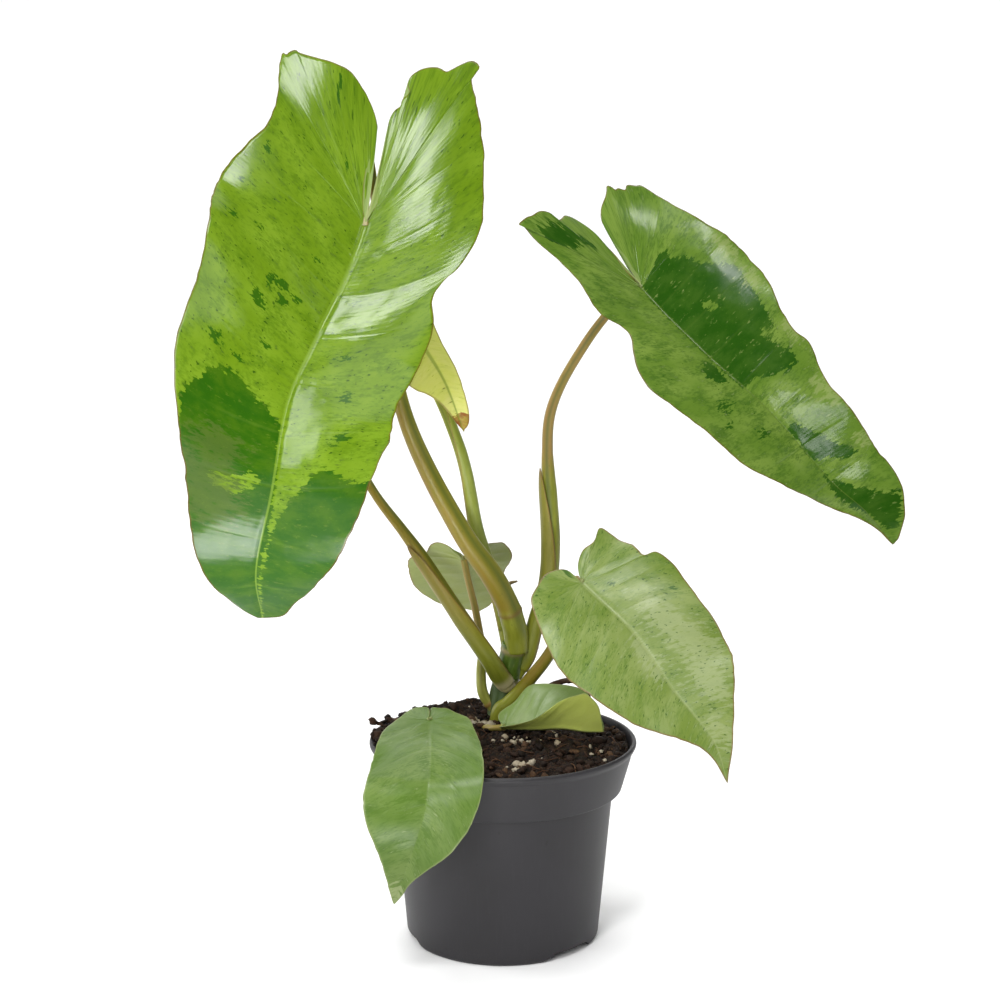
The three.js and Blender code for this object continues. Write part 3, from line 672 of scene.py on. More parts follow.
def soil_mesh(name):
    """The body of the mix: a plug that follows the pot's inside, its top roughened by noise."""
    wall = [(0, 7), (40.2, 7), (46.8, 67.3), (52, 71.4), (SOIL_RADIUS, SOIL_EDGE - 1)]
    rings, columns = SOIL_GRID
    top = [(SOIL_RADIUS * k / rings, SOIL_EDGE) for k in range(rings, -1, -1)]
    points, quads, _ = lathe(np.array(wall + top, float), columns)
    x, y, z = points.T
    grains = zip((1.4, 1.0, 0.6), (4.6, 2.1, 0.9), SOIL_SEEDS)
    crumble = sum(height * soft_noise(x, y, size, seed) for height, size, seed in grains)
    z = np.where(z > SOIL_EDGE - 0.5, soil_height(x, y) + crumble - 0.6, z)
    return make_mesh(name, np.stack([x, y, z], -1), quads)


def bits_mesh(name, points, grid, random):
    """Many small closed shapes as one mesh, each a grid of points that closes round itself, and each
    with a tone of its own."""
    rows, columns = grid
    count = len(points)
    quads = grid_quads(rows, columns, around=True)
    quads = (quads[None] + rows * columns * np.arange(count)[:, None, None]).reshape(-1, 4)
    tone = np.repeat(random.uniform(0, 1, count), rows * columns)
    return make_mesh(name, points.reshape(-1, 3), quads, values={"tone": tone})


def pebbles_mesh(name, places, sizes, seed, flatness=0.7):
    """Small lumps: a ball of points whose radius wanders, stretched and turned by chance for each
    place."""
    random = np.random.default_rng(seed)
    count = len(places)
    rows, columns = PEBBLE_GRID
    polar = np.linspace(0, np.pi, rows)[:, None]
    turn = np.linspace(0, 2 * np.pi, columns, endpoint=False)[None, :]
    ball = [np.sin(polar) * np.cos(turn), np.sin(polar) * np.sin(turn), np.cos(polar) + 0 * turn]
    ball = np.stack(ball, -1).reshape(-1, 3)
    wander = random.uniform(0.72, 1.25, (count, rows * columns))
    wander[:, :columns] = wander[:, :1]
    wander[:, -columns:] = wander[:, -1:]
    stretch = random.uniform(0.6, 1.5, (count, 3)) * [1, 1, flatness]
    lumps = ball * wander[..., None] * (stretch * sizes[:, None])[:, None]
    lumps = np.einsum("nij,npj->npi", chance_turns(random, count), lumps) + places[:, None]
    return bits_mesh(name, lumps, PEBBLE_GRID, random)


def chance_turns(random, count):
    """Rotation matrices turned any way about the vertical and tipped by chance, most of them by less
    than 40 degrees."""
    spin = random.uniform(0, 2 * np.pi, count)
    tip = random.normal(0, 0.35, count)
    zero = np.zeros(count)
    one = np.ones(count)
    about_z = [[np.cos(spin), -np.sin(spin), zero], [np.sin(spin), np.cos(spin), zero], [zero, zero, one]]
    about_x = [[one, zero, zero], [zero, np.cos(tip), -np.sin(tip)], [zero, np.sin(tip), np.cos(tip)]]
    return np.einsum("ijn,jkn->nik", np.array(about_z), np.array(about_x))


def on_the_mix(random, count, spread):
    """Chance places on the mix's surface, within the spread of its middle."""
    radius = spread * np.sqrt(random.uniform(0, 1, count))
    turn = random.uniform(0, 2 * np.pi, count)
    x = radius * np.cos(turn)
    y = radius * np.sin(turn)
    return np.stack([x, y, soil_height(x, y)], -1)


def crumbs_mesh(name):
    """Chips of bark and lumps of coir pressed into the mix, more of them on the rim at the back and
    left, and a few that lean out over it."""
    random = np.random.default_rng(CRUMB_SEEDS[0])
    places = on_the_mix(random, CRUMB_COUNT, 54.5)
    turn = np.radians(random.uniform(62, 192, RIM_CRUMB_COUNT))
    reach = random.uniform(53, 58.6, RIM_CRUMB_COUNT)
    height = POT_HEIGHT + random.uniform(0.1, 1.6, RIM_CRUMB_COUNT)
    on_rim = np.stack([reach * np.cos(turn), reach * np.sin(turn), height], -1)
    sizes = 0.5 + 1.9 * random.uniform(0, 1, len(places) + len(on_rim)) ** 2.4
    places = np.vstack([places, on_rim, CRUMBS_OVER_RIM])
    sizes = np.concatenate([sizes, [1.6] * len(CRUMBS_OVER_RIM)])
    return pebbles_mesh(name, places, sizes, CRUMB_SEEDS[1])


def perlite_mesh(name):
    """White perlite grains: a few strewn over the mix, the others in clusters."""
    random = np.random.default_rng(PERLITE_SEEDS[0])
    clusters = [on_the_mix(random, LOOSE_PERLITE, 50)]
    for x, y, spread, count in PERLITE_CLUSTERS:
        spot = random.normal(0, spread, (count, 2)) + [x, y]
        clusters.append(np.column_stack([spot, soil_height(spot[:, 0], spot[:, 1])]))
    places = np.concatenate(clusters)
    places[:, 2] += 0.3
    sizes = 0.5 + 1.2 * random.uniform(0, 1, len(places)) ** 1.5
    return pebbles_mesh(name, places, sizes, PERLITE_SEEDS[1], flatness=0.9)


def fibres_mesh(name):
    """Coir fibres: thin five-sided tubes along short arcs that lie on the mix, held inside the rim."""
    random = np.random.default_rng(FIBRE_SEED)
    steps, sides = FIBRE_GRID
    centre = on_the_mix(random, FIBRE_COUNT, 52)
    heading = random.uniform(0, 2 * np.pi, FIBRE_COUNT)
    bend = random.normal(0, 0.07, FIBRE_COUNT)
    length = random.uniform(5, 15, FIBRE_COUNT)
    t = np.linspace(-0.5, 0.5, steps)[None, :]
    angle = heading[:, None] + bend[:, None] * length[:, None] * t
    step_length = (length / (steps - 1))[:, None]
    x = centre[:, :1] + np.cumsum(np.cos(angle) * step_length, 1)
    y = centre[:, 1:2] + np.cumsum(np.sin(angle) * step_length, 1)
    keep = np.minimum(1, FIBRE_LIMIT / np.hypot(x, y))
    x = x * keep
    y = y * keep
    arch = random.uniform(-0.3, 1.8, FIBRE_COUNT)[:, None] * (1 - (2 * t) ** 2) - 0.5
    path = np.stack([x, y, soil_height(x, y) + 0.4 + arch], -1)
    tangent = unit(np.gradient(path, axis=1))
    side = unit(np.cross(tangent, [0, 0, 1]))
    up = np.cross(side, tangent)
    turn = 2 * np.pi * np.arange(sides) / sides
    ring = side[:, :, None] * np.cos(turn)[:, None] + up[:, :, None] * np.sin(turn)[:, None]
    thickness = random.uniform(0.12, 0.3, FIBRE_COUNT)[:, None, None, None]
    taper = np.sqrt(np.maximum(1 - (2 * t) ** 8, 0))[..., None, None]
    return bits_mesh(name, path[:, :, None] + ring * thickness * taper, FIBRE_GRID, random)


# Shader helpers

def colour(red, green, blue):
    """The surface colour that looks like this screen colour, 0 to 255, in the studio's light."""
    share = np.array([red, green, blue]) / 255
    linear = np.where(share <= 0.04045, share / 12.92, ((share + 0.055) / 1.055) ** 2.4)
    return (*(float(value) for value in linear / STUDIO_LIGHT), 1.0)


def fill(made, inputs):
    """Sets a node's inputs. One that is another node's output is linked to it."""
    for key, value in inputs.items():
        if isinstance(value, bpy.types.NodeSocket):
            made.id_data.links.new(value, made.inputs[key])
        else:
            made.inputs[key].default_value = value


def node(tree, kind, inputs, **settings):
    """Adds a node with its settings and inputs, and returns its outputs."""
    made = tree.nodes.new(kind)
    for key, value in settings.items():
        setattr(made, key, value)
    fill(made, inputs)
    return made.outputs


def onward(kind, inputs, **settings):
    """Adds a node beside the nodes whose outputs it takes in, and returns its outputs."""
    tree = next(value.id_data for value in inputs.values() if isinstance(value, bpy.types.NodeSocket))
    return node(tree, kind, inputs, **settings)


def maths(operation, *values, clamp=False):
    """One step of arithmetic on up to three values."""
    inputs = dict(enumerate(values))
    return onward("ShaderNodeMath", inputs, operation=operation, use_clamp=clamp)[0]


def times(first, second):
    """The product of two values."""
    return maths("MULTIPLY", first, second)


def times_plus(first, second, third):
    """The product of two values, plus a third."""
    return maths("MULTIPLY_ADD", first, second, third)


def step(value, low, high):
    """0 at low and 1 at high, with a smooth step between them."""
    inputs = {"Value": value, "From Min": low, "From Max": high}
    return onward("ShaderNodeMapRange", inputs, interpolation_type="SMOOTHSTEP")["Result"]


def blend(share, first, second):
    """The first colour at share 0 and the second at share 1."""
    return onward("ShaderNodeMix", {0: share, 6: first, 7: second}, data_type="RGBA")[2]


def scaled(vector, scale, shift=(0, 0, 0)):
    """A vector times a scale, plus a shift."""
    return onward("ShaderNodeVectorMath", {0: vector, 1: scale, 2: shift}, operation="MULTIPLY_ADD")[0]


def split(vector):
    """A vector's X, Y and Z."""
    return onward("ShaderNodeSeparateXYZ", {0: vector})


def noise(vector, scale=1.0, detail=2.0, roughness=0.5):
    """Cloudy noise about 0.5."""
    inputs = {"Vector": vector, "Scale": scale, "Detail": detail, "Roughness": roughness}
    return onward("ShaderNodeTexNoise", inputs)["Fac"]


def attribute(tree, name):
    """A value that the mesh carries at each point."""
    return node(tree, "ShaderNodeAttribute", {}, attribute_name=name)["Fac"]


def uv_layer(tree, name):
    """A UV layer of the mesh as a vector."""
    return node(tree, "ShaderNodeUVMap", {}, uv_map=name)["UV"]


def object_place(tree):
    """The place on the object, in metres."""
    return node(tree, "ShaderNodeTexCoord", {})["Object"]


def new_group(name, inputs, outputs):
    """A node group with named sockets: inputs as (name, kind, value), outputs as (name, kind)."""
    tree = bpy.data.node_groups.new(name, "ShaderNodeTree")
    for label, kind, value in inputs:
        socket = tree.interface.new_socket(name=label, in_out="INPUT", socket_type="NodeSocket" + kind)
        if value is not None:
            socket.default_value = value
    for label, kind in outputs:
        tree.interface.new_socket(name=label, in_out="OUTPUT", socket_type="NodeSocket" + kind)
    return tree, tree.nodes.new("NodeGroupInput").outputs, tree.nodes.new("NodeGroupOutput")


def place_group(tree, group, inputs):
    """A group placed in a material with this material's own values."""
    return node(tree, "ShaderNodeGroup", inputs, node_tree=group)


def new_material(name):
    """A material with an empty node tree. Returns both."""
    material = bpy.data.materials.new(name)
    material.use_nodes = True
    material.node_tree.nodes.clear()
    return material, material.node_tree


def surface(material, inputs, height=None, strength=0.0, depth=0.0):
    """Closes a material with its Principled shader, shaded by a height from 0 to 1 whose full depth
    is given in mm."""
    tree = material.node_tree
    shader = tree.nodes.new("ShaderNodeBsdfPrincipled")
    fill(shader, inputs)
    if height is not None:
        bump = onward("ShaderNodeBump", {"Height": height, "Strength": strength, "Distance": depth / METRE})
        fill(shader, {"Normal": bump["Normal"]})
    fill(tree.nodes.new("ShaderNodeOutputMaterial"), {"Surface": shader.outputs["BSDF"]})
    return material


# Effects that several materials share

def marbling_group():
    """Variegation in tissue that grew along the veins: soft clouds, streaky mottling, crisp dark
    sectors with toothed edges, ragged flecks, brushed patches of another shade, which on one blade
    are partly painted highlight, and specks. All its noise is stretched outward from the rib."""
    shades = ("Base", "Light", "Middle", "Deep", "Speck", "Patch")
    amounts = ("Sector", "Flecks", "Patches", "Mottling", "Specks", "Shift")
    colours = [(label, "Color", (0, 0, 0, 1)) for label in shades]
    values = [(label, "Float", 0.0) for label in amounts]
    inputs = [("Veins", "Vector", None), *values, *colours]
    tree, given, result = new_group("marbling", inputs, [("Color", "Color"), ("Dark", "Float")])
    shift = node(tree, "ShaderNodeCombineXYZ", {"X": given["Shift"], "Y": given["Shift"]})[0]

    def grain(along, out, detail, roughness=0.5):
        return noise(scaled(given["Veins"], (along, out, 0), shift), detail=detail, roughness=roughness)

    cloud = grain(6, 4.5, 3)
    patch = grain(17, 8, 4, 0.6)
    streak = grain(62, 17, 3, 0.55)
    fine = grain(150, 50, 3, 0.6)

    def frayed(field, coarse, small):
        """A field whose edges are pushed about by the streaks and by the fine grain."""
        field = times_plus(maths("SUBTRACT", streak, 0.5), coarse, field)
        return times_plus(maths("SUBTRACT", fine, 0.5), small, field)

    body = blend(step(cloud, 0.36, 0.66), given["Base"], given["Light"])
    grit = times_plus(fine, 0.5, times(streak, 0.5))
    mottled = step(times_plus(patch, 0.35, times(grit, 0.65)), 0.45, 0.6)
    body = blend(times(mottled, given["Mottling"]), body, given["Middle"])
    dark = step(frayed(given["Sector"], 9.0, 4.0), -0.25, 0.35)
    depths = blend(times(step(patch, 0.38, 0.66), 0.5), given["Deep"], given["Middle"])
    depths = blend(times(step(grit, 0.56, 0.66), 0.4), depths, given["Base"])
    body = blend(dark, body, depths)
    fleck = step(frayed(given["Flecks"], 2.4, 1.8), 0.72, 0.88)
    body = blend(times(fleck, 0.9), body, given["Deep"])
    # On the lower right blade the brushed patches are partly painted highlight
    brushed = step(frayed(given["Patches"], 3.0, 1.5), 0.35, 0.95)
    body = blend(times(brushed, 0.6), body, given["Patch"])
    crowd = times_plus(maths("SUBTRACT", patch, 0.5), 0.25, times(given["Specks"], 0.2))
    speck = step(maths("ADD", grain(96, 44, 2, 0.55), crowd), 0.71, 0.76)
    speck = times(speck, times_plus(dark, -0.6, 0.85))
    fill(result, {"Color": blend(speck, body, given["Speck"]), "Dark": dark})
    return tree


def vein_lines_group():
    """The blade's veins: a midrib that narrows toward the tip, laterals that fade toward the margin,
    and fine nerves side by side between them."""
    inputs = [
        ("Veins", "Vector", None), ("Laterals", "Vector", None), ("Rib width", "Float", 2.0),
        ("Length", "Float", 100.0), ("Spacing", "Float", 15.0),
    ]
    outputs = [("Rib", "Float"), ("Lateral", "Float"), ("Height", "Float")]
    tree, given, result = new_group("vein lines", inputs, outputs)
    veins = split(given["Veins"])
    laterals = split(given["Laterals"])
    start = times(veins["X"], UV_UNIT)
    out = times(maths("ABSOLUTE", veins["Y"]), UV_UNIT)
    left = maths("SUBTRACT", 1.0, maths("DIVIDE", start, given["Length"]), clamp=True)
    width = times(given["Rib width"], times_plus(left, 0.8, 0.2))
    rib = step(maths("DIVIDE", out, width), 1.0, 0.35)
    aside = times(maths("PINGPONG", laterals["X"], 0.5), given["Spacing"])
    lateral = times(step(aside, 0.9, 0.1), step(laterals["Y"], 0.97, 0.3))
    nerve = maths("SINE", times(laterals["X"], 2 * math.pi * NERVES))
    grain = noise(scaled(given["Veins"], (160, 60, 0)), detail=2)
    height = times_plus(nerve, 0.02, times(grain, 0.08))
    height = times_plus(rib, -0.15, times_plus(lateral, -0.2, height))
    fill(result, {"Rib": rib, "Lateral": lateral, "Height": height})
    return tree


def lengthwise_group():
    """Fibres along a stalk: streaks many times longer than wide, with small dots scattered on them."""
    inputs = [("Skin", "Vector", None), ("Width", "Float", 1.0)]
    outputs = [("Streak", "Float"), ("Dots", "Float"), ("Height", "Float")]
    tree, given, result = new_group("lengthwise streaks", inputs, outputs)
    stretch = node(tree, "ShaderNodeCombineXYZ", {"X": maths("DIVIDE", 110.0, given["Width"]), "Y": 7.0})[0]
    streak = noise(scaled(given["Skin"], stretch), detail=3, roughness=0.6)
    dots = noise(scaled(given["Skin"], (90, 45, 0)), detail=1)
    patches = noise(scaled(given["Skin"], (20, 6, 0)), detail=2)
    mixed = step(times_plus(patches, 0.5, times(streak, 0.5)), 0.36, 0.64)
    fill(result, {"Streak": mixed, "Dots": step(dots, 0.66, 0.72), "Height": streak})
    return tree


def grit_group():
    """Two sizes of grain on one surface, lumps and dust."""
    inputs = [("Place", "Vector", None), ("Size", "Float", 1.0)]
    outputs = [("Lumps", "Float"), ("Dust", "Float"), ("Height", "Float")]
    tree, given, result = new_group("grit", inputs, outputs)
    per_metre = maths("DIVIDE", METRE, given["Size"])
    lumps = noise(given["Place"], per_metre, detail=3, roughness=0.65)
    dust = noise(given["Place"], times(per_metre, 3.7), detail=2)
    fill(result, {"Lumps": lumps, "Dust": dust, "Height": times_plus(dust, 0.35, lumps)})
    return tree


MARBLING = marbling_group()
VEIN_LINES = vein_lines_group()
LENGTHWISE = lengthwise_group()
GRIT = grit_group()


# Finishes

def blade_finish(name, spec, look):
    """A glossy leaf: marbled flesh, paler veins, a matt pale underside and a thin reddish margin."""
    material, tree = new_material(name)
    veins = uv_layer(tree, "veins")
    inputs = {"Veins": veins}
    for key in ("sector", "flecks", "patches"):
        inputs[key.capitalize()] = attribute(tree, key)
    for key in ("base", "light", "middle", "deep", "speck", "patch", "mottling", "specks", "shift"):
        inputs[key.capitalize()] = look[key]
    flesh = place_group(tree, MARBLING, inputs)["Color"]
    lines = place_group(tree, VEIN_LINES, {
        "Veins": veins, "Laterals": uv_layer(tree, "laterals"), "Rib width": look["rib_width"],
        "Length": spec["size"], "Spacing": spec["size"] / spec["veins"],
    })
    under = blend(0.6, flesh, look["under"])
    under = blend(times(lines["Rib"], 0.7), under, look["under_rib"])
    flesh = blend(times(lines["Lateral"], look["lateral"]), flesh, look["rib"])
    # On the lower right blade the pale rib is partly painted highlight along the rib
    flesh = blend(times(lines["Rib"], look["rib_share"]), flesh, look["rib"])
    upper = attribute(tree, "upper")
    flesh = blend(step(upper, 0.2, 0.6), under, flesh)
    red = step(attribute(tree, "margin"), 0.9, 0.15)
    flesh = blend(times(red, look["red_margin"]), flesh, look["margin"])
    sheen = noise(scaled(veins, (9, 5, 0), (3, 1, 0)), detail=2)
    gloss = times_plus(sheen, 0.12, look["roughness"])
    matt = times(step(upper, 0.6, 0.2), 0.22)
    inputs = {"Base Color": flesh, "Roughness": maths("ADD", gloss, matt), "IOR": LEAF_IOR}
    return surface(material, inputs, lines["Height"], 0.55, 0.35)


def stalk_finish(name, look):
    """A leafstalk: lengthwise streaks between two greens, a darker groove, and a brown side."""
    material, tree = new_material(name)
    fibres = place_group(tree, LENGTHWISE, {"Skin": uv_layer(tree, "skin"), "Width": 1.4})
    streak = fibres["Streak"]
    skin = blend(streak, look["base"], look["light"])
    blush = times(attribute(tree, "blush"), look["blush"])
    skin = blend(times(blush, times_plus(streak, 0.4, 0.7)), skin, look["brown"])
    skin = blend(times(attribute(tree, "groove"), 0.75), skin, look["dark"])
    skin = blend(times(fibres["Dots"], 0.3), skin, look["dark"])
    skin = blend(times(attribute(tree, "rim"), 0.8), skin, look["rim"])
    skin = blend(attribute(tree, "cream"), skin, colour(206, 196, 150))
    inputs = {"Base Color": skin, "Roughness": times_plus(streak, 0.1, 0.34), "Specular IOR Level": 0.25}
    return surface(material, inputs, fibres["Height"], 0.35, 0.3)


def stem_finish():
    """The stem: dark green above the lower node, a waxy grey-green below, tan scars at the nodes."""
    material, tree = new_material("stem skin")
    fibres = place_group(tree, LENGTHWISE, {"Skin": uv_layer(tree, "skin"), "Width": 2.2})
    wax = step(attribute(tree, "height"), STEM_NODES[0] - 1, STEM_NODES[0] - 4)
    upper = blend(fibres["Streak"], colour(66, 92, 22), colour(98, 126, 42))
    lower = blend(fibres["Streak"], colour(72, 92, 44), colour(110, 130, 92))
    skin = blend(wax, upper, lower)
    skin = blend(times(fibres["Dots"], 0.5), skin, colour(128, 132, 92))
    skin = blend(times(attribute(tree, "node"), 0.8), skin, colour(168, 152, 104))
    inputs = {"Base Color": skin, "Roughness": times_plus(wax, 0.14, 0.34), "Specular IOR Level": 0.3}
    return surface(material, inputs, fibres["Height"], 0.4, 0.4)


def dry_finish(name, light, dark, width):
    """Dry plant matter: brown fibres with pale frayed ridges, quite matt."""
    material, tree = new_material(name)
    fibres = place_group(tree, LENGTHWISE, {"Skin": uv_layer(tree, "skin"), "Width": width})
    grit = place_group(tree, GRIT, {"Place": object_place(tree), "Size": 1.6})
    skin = blend(fibres["Streak"], dark, light)
    skin = blend(step(grit["Lumps"], 0.55, 0.7), skin, dark)
    height = maths("ADD", fibres["Height"], grit["Height"])
    return surface(material, {"Base Color": skin, "Roughness": 0.75}, height, 0.6, 0.5)


def pot_finish():
    """Thin moulded plastic in dark grey: a fine satin grain, faint draw marks down the wall, a few dark
    specks, and slightly paler, rubbed plastic along the rim and the foot."""
    material, tree = new_material("pot plastic")
    place = object_place(tree)
    grit = place_group(tree, GRIT, {"Place": place, "Size": 0.6})
    marks = noise(scaled(place, (900, 900, 18)), detail=3)
    clouds = noise(place, 28.0, detail=3)
    height = split(place)["Z"]
    plastic = blend(step(clouds, 0.35, 0.65), colour(43, 41, 44), colour(48, 46, 50))
    plastic = blend(times(step(marks, 0.5, 0.75), 0.2), plastic, colour(58, 56, 60))
    rim = step(height, (POT_HEIGHT - 2.5) / METRE, (POT_HEIGHT - 0.5) / METRE)
    foot = step(height, 12 / METRE, 1 / METRE)
    worn = times(maths("MAXIMUM", rim, foot), step(grit["Lumps"], 0.5, 0.68))
    plastic = blend(times(worn, 0.2), plastic, colour(84, 80, 78))
    specks = step(noise(place, 300.0, detail=0), 0.83, 0.85)
    plastic = blend(times(specks, 0.5), plastic, colour(28, 26, 27))
    inputs = {"Base Color": plastic, "Roughness": times_plus(clouds, 0.1, 0.45), "Specular IOR Level": 0.38}
    return surface(material, inputs, grit["Height"], 0.16, 0.1)


def mix_finish():
    """Damp coir and bark: nearly black painted shade in the hollows, red-brown crumbs, a few pale grains.
    """
    material, tree = new_material("potting mix")
    grit = place_group(tree, GRIT, {"Place": object_place(tree), "Size": 2.2})
    # Painted shade: where the grit's lumps are low, the hollows of the mix turn nearly black
    earth = blend(step(grit["Lumps"], 0.4, 0.68), colour(20, 13, 8), colour(62, 41, 26))
    earth = blend(step(grit["Dust"], 0.6, 0.74), earth, colour(104, 76, 50))
    inputs = {"Base Color": earth, "Roughness": 0.8, "Specular IOR Level": 0.2}
    return surface(material, inputs, grit["Height"], 0.9, 1.2)


def bits_finish(name, tones, size, roughness):
    """Loose bits: each one's own tone between a ramp's colours, with grit and painted shade in its hollows.
    """
    material, tree = new_material(name)
    grit = place_group(tree, GRIT, {"Place": object_place(tree), "Size": size})
    ramp = tree.nodes.new("ShaderNodeValToRGB")
    fill(ramp, {"Fac": attribute(tree, "tone")})
    elements = ramp.color_ramp.elements
    while len(elements) < len(tones):
        elements.new(0.5)
    for k, tone in enumerate(tones):
        elements[k].position = k / (len(tones) - 1)
        elements[k].color = colour(*tone)
    # Painted shade: the low spots of the grit are darkened toward the darkest tone
    hollow_shade = times(step(grit["Lumps"], 0.62, 0.4), 0.45)
    shade = blend(hollow_shade, ramp.outputs["Color"], colour(*tones[0]))
    inputs = {"Base Color": shade, "Roughness": roughness, "Specular IOR Level": 0.2}
    return surface(material, inputs, grit["Height"], 0.7, 0.5)


# The measured shapes

# Each path row is x, y, z and radius. A blade's stations run from behind the sinus, through the sinus,
# which is the second one, to the tip. faces are its upper normals, folds the angles by which its two
# halves rise, and halves its outlines as (along the rib, out from it). sectors and islands are outlines
# on its veins map, and flecks, patches and swells are spots on it.
STEM = [
    (-1.3, 35, 79, 5.9), (-1.3, 35, 92.7, 5.9), (-0.4, 33, 101, 5.8), (1, 31.5, 108, 5.7),
    (2.9, 30, 115, 6.1), (4.2, 29, 121.6, 5.7), (5.1, 28, 127.5, 5),
]
STALKS = {
    "large_left": {
        "groove": (-38, 0.55, 26), "brown_side": 75, "blush": (20, 27), "ring": 21.5, "pale_top": 0.9,
        "path": [
            (6.5, 27, 124, 5.3), (6, 26, 132, 5.6), (4.6, 23, 139, 5.5), (1.9, 20, 148, 5.3),
            (-5.3, 14, 163, 5.2), (-17, 9, 181, 4.7), (-33, 3, 212, 4.1), (-43, -5, 239, 3.5),
            (-48, -9, 267, 2.8), (-50, -9, 292, 2.4), (-52.7, -4, 315, 2.2), (-55.4, 3, 334, 2),
            (-57.3, 1, 347.8, 1.9), (-59, -5, 346, 1.8), (-58.3, -12, 333, 1.8),
        ],
    },
    "behind": {
        "groove": (-60, 0.35, 26), "brown_side": 50, "blush": (14, 40), "ring": 2, "cream": 7,
        "sheath": {
            "reach": (0.03, 0.5), "turn": 40, "twist": -10, "width": 105, "flare": 1.1, "blush": 0.9,
        },
        "path": [
            (2.5, 29, 107, 4.2), (-1.3, 25, 113, 4.3), (-5.9, 20, 122, 4), (-11, 19, 130, 3.9),
            (-18, 20, 140, 3.8), (-24, 22, 149, 3.5), (-37, 28, 168, 3.1), (-46, 31, 180, 2.5),
            (-59, 38, 196, 2.1), (-73, 47, 219, 1.9), (-84, 52, 239, 1.8), (-90, 51, 254, 1.7),
            (-92, 46.5, 255.5, 1.7),
        ],
    },
    "young": {
        "groove": (20, 0.3, 24), "ring": 1,
        "sheath": {
            "reach": (0.04, 0.72), "turn": -70, "twist": 25, "width": 115, "flare": 1.3, "blush": 0.15,
        },
        "path": [
            (2.6, 32, 124, 3), (-1.8, 31, 145.5, 3), (-6, 26.5, 162, 3), (-12, 22.5, 181, 3.1),
            (-15, 19, 199, 2.8), (-16.5, 17, 208, 2.6), (-19.3, 15, 219, 2.4), (-23, 14, 229, 2),
            (-28, 14, 241, 1.8), (-36, 15, 257, 1.7), (-42, 15, 272, 1.6),
        ],
    },
    "right": {
        "groove": (10, 0.35, 26), "brown_side": 20, "blush": (92, 112), "ring": 16,
        "sheath": {
            "reach": (0.07, 0.575), "turn": 70, "twist": -15, "width": 120, "flare": 1.2, "blush": 0.4,
        },
        "path": [
            (6, 29.5, 111, 2.6), (8.4, 30, 115, 3), (11.6, 30, 121, 3.4), (13.4, 30, 128.5, 3.7),
            (15.7, 30, 138, 3.6), (19.3, 30, 149, 3.8), (21.6, 29, 162, 4.1), (22, 27, 178, 4.1),
            (21, 25, 198, 3.6), (20, 23, 218, 2.5), (21, 21, 234, 2.4), (26.3, 19, 249, 2.2),
            (36.7, 17, 267, 2.1), (45.5, 17, 279, 2), (55, 14, 290, 1.9),
        ],
    },
    "lower_right": {
        "groove": (-60, 0.3, 26), "brown_side": 60, "blush": (22, 40), "ring": 8,
        "path": [
            (-3.6, 26, 82, 3.4), (-1.8, 25, 95.6, 3.5), (2.4, 24, 100, 3.3), (7.4, 23, 105.7, 3.2),
            (13.8, 21, 114, 3.1), (21, 18, 124.5, 2.9), (29.8, 13, 142, 2.5), (35, 8, 156, 2.1),
            (36, 3, 161.5, 1.9),
        ],
    },
    "small_back": {
        "brown_side": 0, "blush": (20, 36), "ring": 3,
        "path": [
            (-4.5, 33, 95, 2.3), (-9.2, 33, 102.4, 2.5), (-10.1, 34, 112, 2.3), (-9.6, 35, 122.4, 2),
            (-11, 35.5, 132, 1.8), (-13, 36, 143, 1.7), (-16, 37, 155, 1.6),
        ],
    },
    "over_rim": {
        "groove": (0, 0.2, 30), "brown_side": 180,
        "path": [(-25, 2, 80, 2.6), (-26, -2, 91, 2.5), (-28, -14, 98.5, 2.2), (-31, -24, 103.5, 1.9)],
    },
    "on_soil": {
        "brown_side": 0, "blush": (-5, 4),
        "path": [(-9, 20, 82, 1.8), (-8, 15, 90.5, 1.7), (-5, 9, 92.6, 1.4)],
    },
}
DRY_SHEATH = [
    (2.4, 34, 123, 1.8), (2.9, 34, 139, 1.4), (1.9, 33.5, 149, 1.2), (2.8, 33, 154, 1),
    (6.7, 32.5, 155.7, 0.5),
]
BARK_STRIP = [
    (18, 29, 84, 1.4), (18.6, 30, 97.5, 1.4), (20.9, 31, 105.3, 1.4), (26.5, 31, 108.2, 1.4),
    (32.5, 30, 109, 1.4), (37, 29, 106.8, 1.4), (39.4, 28, 101.9, 1.4), (40, 27, 84, 1.4),
]
